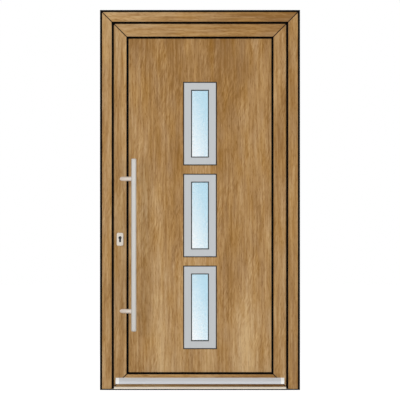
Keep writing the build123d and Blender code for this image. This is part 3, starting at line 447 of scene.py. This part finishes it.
    gloss = add_node(
        tree,
        "ShaderNodeMapRange",
        inputs={"Value": tones["pore"], "To Min": oak.gloss_low, "To Max": oak.gloss_high},
    ).outputs["Result"]
    relief = add_node(
        tree,
        "ShaderNodeBump",
        inputs={"Strength": 0.35, "Distance": oak.pore_relief, "Height": tones["pore"]},
    ).outputs["Normal"]
    tree.links.new(colour, shader.inputs["Base Color"])
    tree.links.new(gloss, shader.inputs["Roughness"])
    tree.links.new(relief, shader.inputs["Normal"])
    return material


def vary_surface(tree, shader, noise, colour, variation, roughness, swing, strength, relief):
    """Let one noise vary a surface's tone, gloss and relief.

    The tone goes down and up by the share variation and the roughness by swing. relief is the height of the
    bump in metres, and strength is how much of it shows.
    """
    darker = tuple(channel * (1 - variation) for channel in colour[:3]) + (1.0,)
    lighter = tuple(min(1.0, channel * (1 + variation)) for channel in colour[:3]) + (1.0,)
    tone = add_node(
        tree, "ShaderNodeMix", {"data_type": "RGBA"}, {MIX_FACTOR: noise, MIX_A: darker, MIX_B: lighter}
    ).outputs[MIX_RESULT]
    gloss = add_node(
        tree,
        "ShaderNodeMapRange",
        inputs={"Value": noise, "To Min": roughness - swing, "To Max": roughness + swing},
    ).outputs["Result"]
    bump = add_node(
        tree, "ShaderNodeBump", inputs={"Strength": strength, "Distance": relief, "Height": noise}
    ).outputs["Normal"]
    tree.links.new(tone, shader.inputs["Base Color"])
    tree.links.new(gloss, shader.inputs["Roughness"])
    tree.links.new(bump, shader.inputs["Normal"])


def brushed_metal(name, colour, brush, roughness, variation=0.06, metallic=1.0):
    """Brushed or drawn metal: fine lines whose length in metres along X, Y and Z is brush.

    Brushing leaves parallel scratches, seen as a soft sheen with faint light and dark lines. A metallic
    below 1 stands for the scatter of a satin finish, which makes a surface more evenly grey.
    """
    material, tree, shader = new_material(name, {"Metallic": metallic})
    place = add_node(tree, "ShaderNodeTexCoord").outputs["Object"]
    lines = add_node(
        tree, "ShaderNodeMapping", {"vector_type": "TEXTURE"}, {"Vector": place, "Scale": brush}
    ).outputs["Vector"]
    noise = add_node(
        tree, "ShaderNodeTexNoise", inputs={"Vector": lines, "Scale": 1.0, "Detail": 3.0, "Roughness": 0.6}
    ).outputs["Fac"]
    vary_surface(
        tree, shader, noise, colour, variation, roughness, swing=0.08, strength=0.12, relief=0.05 * MM
    )
    return material


def grained_surface(name, colour, constants, grain, variation, roughness, relief):
    """Rubber, moulded plastic, coating or plating: one colour, with a fine grain in tone, gloss and relief.

    grain is the size of one grain and relief its height, both in metres.
    """
    material, tree, shader = new_material(name, constants)
    place = add_node(tree, "ShaderNodeTexCoord").outputs["Object"]
    noise = add_node(
        tree,
        "ShaderNodeTexNoise",
        inputs={"Vector": place, "Scale": 1 / grain, "Detail": 3.0, "Roughness": 0.55},
    ).outputs["Fac"]
    vary_surface(tree, shader, noise, colour, variation, roughness, swing=0.06, strength=0.3, relief=relief)
    return material


def satin_glass(name, glass, low, high):
    """Stippled satin glass between two corners, with a painted reflection from one corner of the pane to the
    other.

    The face is rolled in a fine stipple and etched, so the painted reflection flickers from dot to dot and
    what is behind shows only as light and colour.
    """
    constants = {"IOR": 1.5, "Transmission Weight": glass.clear, "Specular IOR Level": 0.4}
    material, tree, shader = new_material(name, constants)
    place = add_node(tree, "ShaderNodeTexCoord").outputs["Object"]
    axes = add_node(tree, "ShaderNodeSeparateXYZ", inputs={"Vector": place}).outputs
    # Painted reflection: how far a point lies towards the upper hinge-side corner
    runs = [
        add_node(
            tree,
            "ShaderNodeMapRange",
            inputs={"Value": along, "From Min": float(start), "From Max": float(end), "To Max": share},
        ).outputs["Result"]
        for along, start, end, share in (
            (axes["X"], low[0], high[0], glass.reflection_across),
            (axes["Z"], low[2], high[2], glass.reflection_up),
        )
    ]
    run = add_node(tree, "ShaderNodeMath", {"operation": "ADD"}, {0: runs[0], 1: runs[1]}).outputs[0]
    etch = add_node(
        tree, "ShaderNodeTexNoise", inputs={"Vector": place, "Scale": 1 / glass.stipple, "Detail": 1.0}
    ).outputs["Fac"]
    dots = add_node(
        tree, "ShaderNodeMath", {"operation": "SUBTRACT"}, {0: etch, 1: NOISE_MIDDLE}
    ).outputs[0]
    run = add_node(
        tree, "ShaderNodeMath", {"operation": "MULTIPLY_ADD"}, {0: dots, 1: glass.stipple_share, 2: run}
    ).outputs[0]
    # Painted reflection: its blue mixed over the pale glass, broken up by the stipple
    colour = add_node(
        tree,
        "ShaderNodeMix",
        {"data_type": "RGBA"},
        {MIX_FACTOR: run, MIX_A: tuple(glass.pale), MIX_B: tuple(glass.painted_reflection)},
    ).outputs[MIX_RESULT]
    swing = 0.05
    gloss = add_node(
        tree,
        "ShaderNodeMapRange",
        inputs={"Value": etch, "To Min": glass.roughness - swing, "To Max": glass.roughness + swing},
    ).outputs["Result"]
    tree.links.new(colour, shader.inputs["Base Color"])
    tree.links.new(gloss, shader.inputs["Roughness"])
    return material


def finish_nodes(material, *names):
    """Give CAD nodes this material on every slot."""
    for name in names:
        for slot in NODES[name].material_slots:
            slot.material = material


def material_named(name):
    """A material made by an earlier step, or an error that names the missing step."""
    found = bpy.data.materials.get(name)
    if found is None:
        raise RuntimeError(f"material {name} is missing: apply the finishes first")
    return found


def tube_faces(rows, columns):
    """Faces of a grid that closes on itself along its columns: quads, and a flat face at either end."""
    row, column = np.meshgrid(np.arange(rows - 1), np.arange(columns), indexing="ij")
    after = (column + 1) % columns
    near = row * columns
    far = near + columns
    quads = np.stack([near + column, near + after, far + after, far + column], axis=-1)
    first = np.arange(columns)[::-1]
    last = np.arange(columns) + (rows - 1) * columns
    return [*quads.reshape(-1, 4).tolist(), first.tolist(), last.tolist()]


def rings(radii, heights, origin, axis):
    """Rings round X, Y or Z: point (i, t) = origin + height * axis + radius * (cos t * e1 + sin t * e2).

    radii and heights have a row for each ring, with one column for the whole ring or one for each t. The
    rings run up the outside, so that the faces point outwards.
    """
    axis = np.asarray(axis, float)
    e1 = np.cross(np.eye(3)[np.argmin(np.abs(axis))], axis)
    e2 = np.cross(axis, e1)
    spokes = np.cos(TURN)[:, None] * e1 + np.sin(TURN)[:, None] * e2
    points = np.asarray(origin) + heights[..., None] * axis + radii[..., None] * spokes
    return points.reshape(-1, 3), tube_faces(len(radii), ROUND_STEPS)


def lathe(radii, heights, origin, axis):
    """Surface of revolution: rings that are round, with one radius and one height each."""
    return rings(np.asarray(radii)[:, None], np.asarray(heights)[:, None], origin, axis)


def screw_head(fitting, origin, outward):
    """Round screw head with a star recess, as rings from under the rim to the recess's middle.

    The recess's edge is r(t) = drive * (1 + swing * cos(lobes * t)); the head rises as a flat dome
    dome * (1 - (r / radius)^2), and the first ring lies below the plate to close the edge.
    """
    of_rim, of_star, drop = np.hsplit(SCREW_RINGS, 3)
    star = fitting.drive_radius * (1 + STAR_SWING * np.cos(fitting.lobes * TURN))
    radii = of_rim * fitting.screw_radius + of_star * star
    dome = fitting.screw_dome * (1 - (radii / fitting.screw_radius) ** 2)
    return rings(radii, dome - drop * fitting.drive_depth, origin, outward)


def prism(section, start, end):
    """A closed outline of (y, z) points carried straight along X from start to end, with flat ends."""
    section = np.asarray(section, float)
    count = len(section)
    ends = [np.column_stack([np.full(count, x), section]) for x in (start, end)]
    return np.concatenate(ends), tube_faces(2, count)


def add_piece(name, surfaces, material, body):
    """Join closed surfaces into one mesh object with one material, on a body."""
    points = []
    faces = []
    for surface_points, surface_faces in surfaces:
        shift = sum(len(p) for p in points)
        points.append(surface_points)
        faces += [[index + shift for index in face] for face in surface_faces]
    mesh = bpy.data.meshes.new(name)
    mesh.from_pydata(np.concatenate(points).tolist(), [], faces)
    mesh.validate()
    mesh.shade_smooth()
    mesh.set_sharp_from_angle(angle=SHARP_ANGLE)
    mesh.materials.append(material)
    piece = bpy.data.objects.new(name, mesh)
    bpy.context.scene.collection.objects.link(piece)
    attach(piece, body)
    return piece


def hinge_heights():
    """Middle heights of the three hinges, from the box of their frame halves."""
    low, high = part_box("hinge_frame_halves")
    return (low[2] + HINGE_HALF, (low[2] + high[2]) / 2, high[2] - HINGE_HALF)


def seen_rays(tree):
    """1 for the rays that show the stage, camera, glossy and transmission rays, and 0 for the rest."""
    rays = add_node(tree, "ShaderNodeLightPath").outputs
    seen = rays["Is Camera Ray"]
    for kind in ("Is Glossy Ray", "Is Transmission Ray"):
        seen = add_node(tree, "ShaderNodeMath", {"operation": "MAXIMUM"}, {0: seen, 1: rays[kind]}).outputs[0]
    return seen


class DOOR_OT_oak_foil(bpy.types.Operator):
    """Give the frame, leaf and panel their oak-print foil"""

    bl_idname = "door.oak_foil"
    bl_label = "Oak foil"

    def execute(self, context):
        oak = context.scene.door_oak
        # Each profile is cut from another place of the print. Painted shade: the frame and leaf profiles
        # darken towards the hinges, the cross pieces most, the panel towards its top, and each has its own
        # painted shade offset
        jambs = oak_foil(
            "oak_foil_jambs", oak, shift=(2.62, 1.89, 4.48), seams=(TOP_SEAM,),
            painted_shade_slope=(-0.03, 0.0, 0.0), painted_shade_offset=-0.015,
        )
        finish_nodes(jambs, "frame_jamb_left", "frame_jamb_right")
        head = oak_foil(
            "oak_foil_head", oak, across=True, shift=(1.19, 2.18, 1.08), seams=(TOP_SEAM,),
            painted_shade_slope=(-0.19, 0.0, 0.0), painted_shade_offset=-0.036,
        )
        finish_nodes(head, "frame_head")
        both_seams = (TOP_SEAM, FOOT_SEAM)
        stiles = oak_foil(
            "oak_foil_stiles", oak, shift=(3.46, 3.08, 3.77), seams=both_seams,
            painted_shade_slope=(-0.04, 0.0, 0.0), painted_shade_offset=-0.003,
        )
        finish_nodes(stiles, "leaf_stile_left", "leaf_stile_right")
        rails = oak_foil(
            "oak_foil_rails", oak, across=True, shift=(2.93, 2.06, 3.44), seams=both_seams,
            painted_shade_slope=(-0.19, 0.0, 0.0), painted_shade_offset=-0.038,
        )
        finish_nodes(rails, "leaf_rail_top", "leaf_rail_bottom")
        side_beads = oak_foil("oak_foil_side_beads", oak, shift=(3.1, 0.4, 0.9), seams=both_seams)
        finish_nodes(side_beads, "glazing_bead_left", "glazing_bead_right")
        cross_beads = oak_foil(
            "oak_foil_cross_beads", oak, across=True, shift=(3.7, 0.8, 0.2), seams=both_seams
        )
        finish_nodes(cross_beads, "glazing_bead_top", "glazing_bead_bottom")
        panel = oak_foil(
            "oak_foil_panel", oak, shift=(4.5, 5.74, 2.13), painted_shade_slope=(0.0, 0.0, -0.074), painted_shade_offset=-0.004
        )
        finish_nodes(panel, "infill_panel")
        return {"FINISHED"}


class DOOR_OT_rubber_and_plastic(bpy.types.Operator):
    """Give the gaskets, seals, base and end caps their rubber and plastic"""

    bl_idname = "door.rubber_and_plastic"
    bl_label = "Rubber and plastic"

    def execute(self, context):
        metal = context.scene.door_metal
        # Extruded rubber drinks light: nearly black, with hardly any gloss
        rubber = grained_surface(
            "gasket_rubber_extruded", metal.rubber, {"Specular IOR Level": 0.03},
            grain=1.5 * MM, variation=0.2, roughness=0.7, relief=0.05 * MM,
        )
        finish_nodes(rubber, "frame_edge_seal", "frame_gasket", "threshold_gasket")
        finish_nodes(rubber, "panel_gaskets", "leaf_gasket")
        # Silicone bead, smoothed by hand: a soft dark grey
        seal = grained_surface(
            "window_silicone_grey", metal.grey_rubber, {"Specular IOR Level": 0.2},
            grain=2.5 * MM, variation=0.1, roughness=0.55, relief=0.1 * MM,
        )
        finish_nodes(seal, "window_glazing_seals", "window_edge_seals")
        # Foamed plastic slab with a coarse grain
        base = grained_surface(
            "base_foamed_plastic", metal.rubber, {"Specular IOR Level": 0.03},
            grain=4.0 * MM, variation=0.3, roughness=0.75, relief=0.2 * MM,
        )
        finish_nodes(base, "threshold_base")
        # Injection-moulded white plastic with a faint spark-eroded grain
        white = grained_surface(
            "white_plastic_moulded", metal.white, {},
            grain=1.0 * MM, variation=0.02, roughness=0.4, relief=0.03 * MM,
        )
        finish_nodes(white, "weather_bar_caps")
        return {"FINISHED"}


class DOOR_OT_metalwork(bpy.types.Operator):
    """Give the window frames, handles, lock, hinges, drip bar and threshold their metal finishes"""

    bl_idname = "door.metalwork"
    bl_label = "Metalwork"

    def execute(self, context):
        metal = context.scene.door_metal
        line = metal.brush_line
        # Stainless steel brushed upright: fine lines and a soft sheen across them
        upright = brushed_metal(
            "stainless_brushed_upright", metal.steel, brush=(line, line, 150 * MM), roughness=0.42
        )
        trims = [f"window_trim_{face}_{place}" for face in ("outer", "inner") for place in PLACES]
        finish_nodes(upright, *trims, "inner_handle_plate")
        # Satin-ground round bar: its lines run round it and scatter the light to an even pale grey
        turned = brushed_metal(
            "stainless_satin_round", metal.bar_steel, brush=(40 * MM, 40 * MM, line),
            roughness=0.5, metallic=0.3,
        )
        finish_nodes(turned, "pull_bar")
        # Bead-blasted steel with a fine grain, its colour far paler than the bar's steel: painted light, so
        # the slanted supports stay pale in their shade
        blasted = grained_surface(
            "stainless_blasted_painted_light", metal.support_steel_painted_light, {"Metallic": 0.25},
            grain=1.0 * MM, variation=0.04, roughness=0.5, relief=0.03 * MM,
        )
        finish_nodes(blasted, "pull_bar_support_upper", "pull_bar_support_lower")
        # Lever brushed along its grip, a little smoother than the plates
        lever = brushed_metal(
            "stainless_brushed_lever", metal.steel, brush=(60 * MM, 10 * MM, line), roughness=0.36
        )
        finish_nodes(lever, "inner_lever")
        # Satin plate with a warm cast: faint upright lines and no mirror
        plate = brushed_metal(
            "stainless_satin_warm", metal.warm_steel, brush=(line, line, 60 * MM),
            roughness=0.45, variation=0.03, metallic=0.5,
        )
        finish_nodes(plate, "cylinder_escutcheon")
        # Anodising leaves drawn aluminium matte and even, with faint lines along its length
        drawn = brushed_metal(
            "aluminium_anodised_drawn", metal.aluminium, brush=(400 * MM, line, line),
            roughness=0.48, variation=0.04, metallic=0.15,
        )
        finish_nodes(drawn, "weather_bar", "window_spacers")
        # Zinc plating sets in small cloudy patches
        zinc = grained_surface(
            "steel_zinc_plated", metal.zinc, {"Metallic": 1.0},
            grain=9.0 * MM, variation=0.1, roughness=0.38, relief=0.02 * MM,
        )
        finish_nodes(zinc, "strike_plates", "lock_faceplate", "lock_bolts")
        # Sprayed paint over die-cast zinc keeps a fine orange-peel
        paint = grained_surface(
            "hinge_paint_silver", metal.paint, {"Metallic": 0.6},
            grain=1.2 * MM, variation=0.04, roughness=0.42, relief=0.05 * MM,
        )
        finish_nodes(paint, "hinge_frame_halves", "hinge_leaf_halves")
        # Stoved powder coat flows out into a fine orange-peel
        cream = grained_surface(
            "threshold_powder_coat", metal.cream, {},
            grain=1.6 * MM, variation=0.03, roughness=0.5, relief=0.05 * MM,
        )
        finish_nodes(cream, "threshold_cover")
        # Dark coat on the brass of the cylinder: dull, with a fine grain
        dark = grained_surface(
            "cylinder_dark_coat", metal.cylinder, {"Specular IOR Level": 0.3},
            grain=0.8 * MM, variation=0.1, roughness=0.45, relief=0.02 * MM,
        )
        finish_nodes(dark, "lock_cylinder")
        return {"FINISHED"}


class DOOR_OT_glass(bpy.types.Operator):
    """Give each window its satin glass, with a painted reflection from corner to corner"""

    bl_idname = "door.glass"
    bl_label = "Satin glass"

    def execute(self, context):
        glass = context.scene.door_glass
        for place in PLACES:
            node = f"window_glass_{place}"
            finish_nodes(satin_glass(f"satin_glass_{place}", glass, *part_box(node)), node)
        return {"FINISHED"}


class DOOR_OT_pull_bar(bpy.types.Operator):
    """Turn the pull bar with end plugs, each behind a fine groove"""

    bl_idname = "door.pull_bar"
    bl_label = "Pull bar"

    def execute(self, context):
        fitting = context.scene.door_fitting
        seam = fitting.bar_seam
        ease = fitting.bar_round
        low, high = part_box("pull_bar")
        radius = (high[1] - low[1]) / 2
        length = high[2] - low[2]
        # One end from a ring on its face over the rounded edge to the groove behind the plug
        face_ring = 0.2 * radius
        bend = np.linspace(0.0, np.pi / 2, EDGE_STEPS)
        end_radii = np.concatenate([[face_ring], radius - ease + ease * np.sin(bend)])
        end_heights = np.concatenate([[0.0], ease - ease * np.cos(bend)])
        groove_radii = np.array([radius, radius - seam, radius - seam, radius])
        groove_heights = fitting.bar_plug + np.array([0.0, 0.4, 0.8, 1.2]) * seam
        half_radii = np.concatenate([end_radii, groove_radii])
        half_heights = np.concatenate([end_heights, groove_heights])
        # The other end is its mirror image
        radii = np.concatenate([half_radii, half_radii[::-1]])
        heights = np.concatenate([half_heights, length - half_heights[::-1]])
        origin = ((low[0] + high[0]) / 2, (low[1] + high[1]) / 2, low[2])
        surface = lathe(radii, heights, origin, (0, 0, 1))
        material = material_named("stainless_satin_round")
        piece = add_piece("pull_bar_tube", [surface], material, "leaf")
        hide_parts("pull_bar")
        return {"FINISHED"}


class DOOR_OT_screws(bpy.types.Operator):
    """Set the screws of the hinges, handle plate, lock strip and strike plates"""

    bl_idname = "door.screws"
    bl_label = "Screws"

    def execute(self, context):
        fitting = context.scene.door_fitting
        zinc = material_named("steel_zinc_plated")
        steel = material_named("stainless_brushed_upright")
        inwards = (0, 1, 0)

        # Four in each hinge plate on the leaf, two in each on the frame
        plate_thick = 5 * MM
        plate_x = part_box("hinge_leaf_halves")[0][0]
        plate_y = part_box("leaf_stile_right")[1][1] + plate_thick
        places = [
            (plate_x + column, plate_y, z + rise)
            for z in hinge_heights()
            for column in (10 * MM, 24 * MM)
            for rise in (-43 * MM, 43 * MM)
        ]
        heads = [screw_head(fitting, place, inwards) for place in places]
        add_piece("hinge_leaf_screws", heads, zinc, "leaf")

        edge = 5 * MM
        plate_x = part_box("hinge_frame_halves")[1][0] - edge
        plate_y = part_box("frame_jamb_right")[1][1] + plate_thick
        places = [(plate_x, plate_y, z + rise) for z in hinge_heights() for rise in (-18 * MM, 18 * MM)]
        heads = [screw_head(fitting, place, inwards) for place in places]
        add_piece("hinge_frame_screws", heads, zinc, "frame")

        # One near either end of the handle plate
        low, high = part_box("inner_handle_plate")
        edge = 16 * MM
        middle = (low[0] + high[0]) / 2
        places = [(middle, high[1], z) for z in (low[2] + edge, high[2] - edge)]
        heads = [screw_head(fitting, place, inwards) for place in places]
        add_piece("handle_plate_screws", heads, steel, "leaf")

        # A row along the lock strip
        low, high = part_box("lock_faceplate")
        edge = 30 * MM
        count = 9
        middle = (low[1] + high[1]) / 2
        places = [(low[0], middle, z) for z in np.linspace(low[2] + edge, high[2] - edge, count)]
        heads = [screw_head(fitting, place, (-1, 0, 0)) for place in places]
        add_piece("lock_strip_screws", heads, zinc, "leaf")

        # Two in each strike plate, beyond the ends of its hole
        strike_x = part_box("strike_plates")[1][0]
        bolt_low, bolt_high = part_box("lock_bolts")
        edge = 13 * MM
        bolt_half = 20 * MM
        latch_half = 16 * MM
        latch_height = 929 * MM
        holes = (
            (latch_height, latch_half),
            (bolt_low[2] + bolt_half, bolt_half),
            (bolt_high[2] - bolt_half, bolt_half),
        )
        places = [(strike_x, middle, z + end * (half + edge)) for z, half in holes for end in (-1, 1)]
        heads = [screw_head(fitting, place, (1, 0, 0)) for place in places]
        add_piece("strike_plate_screws", heads, zinc, "frame")
        return {"FINISHED"}


class DOOR_OT_hinge_caps(bpy.types.Operator):
    """Close the hinge pins with domed caps"""

    bl_idname = "door.hinge_caps"
    bl_label = "Hinge caps"

    def execute(self, context):
        fitting = context.scene.door_fitting
        hinge_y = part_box("hinge_frame_halves")[1][1] - KNUCKLE
        radius = KNUCKLE - fitting.cap_inset
        bend = np.linspace(0.0, np.pi / 2, EDGE_STEPS)[1:-1]
        radii = np.concatenate([[radius, radius], radius * np.cos(bend)])
        rises = np.concatenate([[-SINK, 0.0], fitting.cap_rise * np.sin(bend)])
        caps = [
            lathe(radii, rises, (HINGE_X, hinge_y, z + end * HINGE_HALF), (0, 0, end))
            for z in hinge_heights()
            for end in (-1, 1)
        ]
        add_piece("hinge_caps", caps, material_named("hinge_paint_silver"), "frame")
        return {"FINISHED"}


class DOOR_OT_lever_collar(bpy.types.Operator):
    """Set the bearing collar where the inside lever meets its plate"""

    bl_idname = "door.lever_collar"
    bl_label = "Lever collar"

    def execute(self, context):
        fitting = context.scene.door_fitting
        ease = fitting.collar_round
        tall = fitting.collar_height
        low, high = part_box("inner_handle_plate")
        lever_low, lever_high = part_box("inner_lever")
        origin = ((low[0] + high[0]) / 2, high[1], (lever_low[2] + lever_high[2]) / 2)
        bend = np.linspace(0.0, np.pi / 2, COLLAR_STEPS)
        edge_radii = fitting.collar_radius - ease + ease * np.cos(bend)
        radii = np.concatenate([[fitting.collar_radius], edge_radii, [fitting.collar_inner]])
        heights = np.concatenate([[-SINK], tall - ease + ease * np.sin(bend), [tall]])
        collar = lathe(radii, heights, origin, (0, 1, 0))
        material = material_named("stainless_brushed_lever")
        add_piece("lever_collar", [collar], material, "leaf")
        return {"FINISHED"}


class DOOR_OT_tread_ribs(bpy.types.Operator):
    """Lay the anti-slip ribs along the threshold's tread"""

    bl_idname = "door.tread_ribs"
    bl_label = "Tread ribs"

    def execute(self, context):
        fitting = context.scene.door_fitting
        pitch = fitting.rib_pitch
        low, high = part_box("threshold_cover")
        gasket_low, gasket_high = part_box("threshold_gasket")
        # Half-round ribs from behind the gasket, which stands on the tread, to the back edge
        rows = np.arange(gasket_high[1] + pitch, high[1] - pitch / 2, pitch)
        arc = np.linspace(0.0, np.pi, RIB_STEPS)
        outline_y = fitting.rib_width / 2 * np.cos(arc)
        outline_z = gasket_low[2] + fitting.rib_height * np.sin(arc)
        start = low[0] + fitting.rib_margin
        end = high[0] - fitting.rib_margin
        ribs = [prism(np.column_stack([y + outline_y, outline_z]), start, end) for y in rows]
        material = material_named("threshold_powder_coat")
        add_piece("threshold_tread_ribs", ribs, material, "frame")
        return {"FINISHED"}


class DOOR_OT_stage(bpy.types.Operator):
    """Set the pale floor, the soft light and the camera straight in front"""

    bl_idname = "door.stage"
    bl_label = "Stage"

    def execute(self, context):
        stage = context.scene.door_stage
        context.scene.view_settings.view_transform = "Standard"
        self.add_floor(context.scene, stage)
        self.add_sky(context.scene, stage)
        self.add_lamps(context.scene, stage)
        self.add_camera(context.scene, stage)
        return {"FINISHED"}

    def add_floor(self, scene, stage):
        """A flat square just under the door, pale to the light it returns.

        Camera, glossy and transmission rays see it white: most of that is its own glow, and the rest is
        light that falls on it, so the door's shadow stays.
        """
        reach = stage.floor_reach
        square = ((-reach, -reach), (reach, -reach), (reach, reach), (-reach, reach))
        mesh = bpy.data.meshes.new("pale_floor")
        mesh.from_pydata([(x, y, -FLOOR_DROP) for x, y in square], [], [(0, 1, 2, 3)])
        floor = bpy.data.objects.new("pale_floor", mesh)
        scene.collection.objects.link(floor)
        constants = {"Roughness": 0.9, "Specular IOR Level": 0.0, "Emission Color": (1.0, 1.0, 1.0, 1.0)}
        material, tree, shader = new_material("floor_matte_white", constants)
        seen = seen_rays(tree)
        shade = tuple(channel * stage.floor_shade for channel in stage.floor[:3]) + (1.0,)
        colour = add_node(
            tree,
            "ShaderNodeMix",
            {"data_type": "RGBA"},
            {MIX_FACTOR: seen, MIX_A: tuple(stage.floor), MIX_B: shade},
        ).outputs[MIX_RESULT]
        glow = add_node(
            tree, "ShaderNodeMath", {"operation": "MULTIPLY"}, {0: seen, 1: stage.floor_glow}
        ).outputs[0]
        tree.links.new(colour, shader.inputs["Base Color"])
        tree.links.new(glow, shader.inputs["Emission Strength"])
        mesh.materials.append(material)

    def add_sky(self, scene, stage):
        """Even white light; camera, glossy and transmission rays see it as plain white."""
        world = bpy.data.worlds.new("white_studio")
        world.use_nodes = True
        tree = world.node_tree
        background = tree.nodes["Background"]
        background.inputs["Color"].default_value = (1.0, 1.0, 1.0, 1.0)
        strength = add_node(
            tree, "ShaderNodeMapRange", inputs={"Value": seen_rays(tree), "To Min": stage.sky, "To Max": 1.0}
        ).outputs["Result"]
        tree.links.new(strength, background.inputs["Strength"])
        scene.world = world

    def add_lamps(self, scene, stage):
        """Four large soft lamps, two outside and two inside, aimed at the middle of the door."""
        aim = np.array([0.0, 0.0, CAD_HIGH[2] / 2])
        for face, along in (("outside", -1), ("inside", 1)):
            for side, across in (("left", -1), ("right", 1)):
                name = f"lamp_{face}_{side}"
                place = np.array([across * stage.lamp_side, along * stage.lamp_away, stage.lamp_height])
                data = bpy.data.lights.new(name, "AREA")
                data.shape = "SQUARE"
                data.size = stage.lamp_size
                data.energy = stage.lamp
                lamp = bpy.data.objects.new(name, data)
                lamp.location = place
                lamp.rotation_euler = self.facing(place, aim)
                scene.collection.objects.link(lamp)

    def add_camera(self, scene, stage):
        """Long lens straight in front, at the distance where the picture's width shows view_width."""
        data = bpy.data.cameras.new("front_camera")
        data.lens = stage.lens
        data.clip_end = stage.view_end
        distance = stage.view_width * stage.lens / data.sensor_width
        camera = bpy.data.objects.new("front_camera", data)
        camera.location = (0.0, FRAME_LOW[1] - distance, CAD_HIGH[2] / 2)
        camera.rotation_euler = (math.pi / 2, 0.0, 0.0)
        scene.collection.objects.link(camera)
        scene.camera = camera

    def facing(self, place, aim):
        """Rotation that points an object's -Z axis from place to aim."""
        run = aim - place
        flat = math.hypot(run[0], run[1])
        return (math.atan2(flat, -run[2]), 0.0, math.atan2(-run[0], run[1]))


class DOOR_PT_panel(bpy.types.Panel):
    """Lists the door's steps in the sidebar"""

    bl_idname = "DOOR_PT_panel"
    bl_label = "Front door"
    bl_space_type = "VIEW_3D"
    bl_region_type = "UI"
    bl_category = "Front door"

    def draw(self, context):
        for step in STEPS:
            self.layout.operator(step.bl_idname)


STEPS = (
    DOOR_OT_oak_foil,
    DOOR_OT_rubber_and_plastic,
    DOOR_OT_metalwork,
    DOOR_OT_glass,
    DOOR_OT_pull_bar,
    DOOR_OT_screws,
    DOOR_OT_hinge_caps,
    DOOR_OT_lever_collar,
    DOOR_OT_tread_ribs,
    DOOR_OT_stage,
)
SETTINGS = {
    "door_oak": OakSettings,
    "door_metal": MetalSettings,
    "door_glass": GlassSettings,
    "door_fitting": FittingSettings,
    "door_stage": StageSettings,
}


def register():
    """Register the settings, steps and panel."""
    for name, group in SETTINGS.items():
        bpy.utils.register_class(group)
        setattr(bpy.types.Scene, name, PointerProperty(type=group))
    for cls in (*STEPS, DOOR_PT_panel):
        bpy.utils.register_class(cls)


def unregister():
    """Take them out again, in reverse."""
    for cls in (DOOR_PT_panel, *reversed(STEPS)):
        bpy.utils.unregister_class(cls)
    for name, group in reversed(SETTINGS.items()):
        delattr(bpy.types.Scene, name)
        bpy.utils.unregister_class(group)


def main():
    """Run every step in order."""
    register()
    for step in STEPS:
        getattr(bpy.ops.door, step.bl_idname.split(".")[1])()


if __name__ == "__main__":
    main()
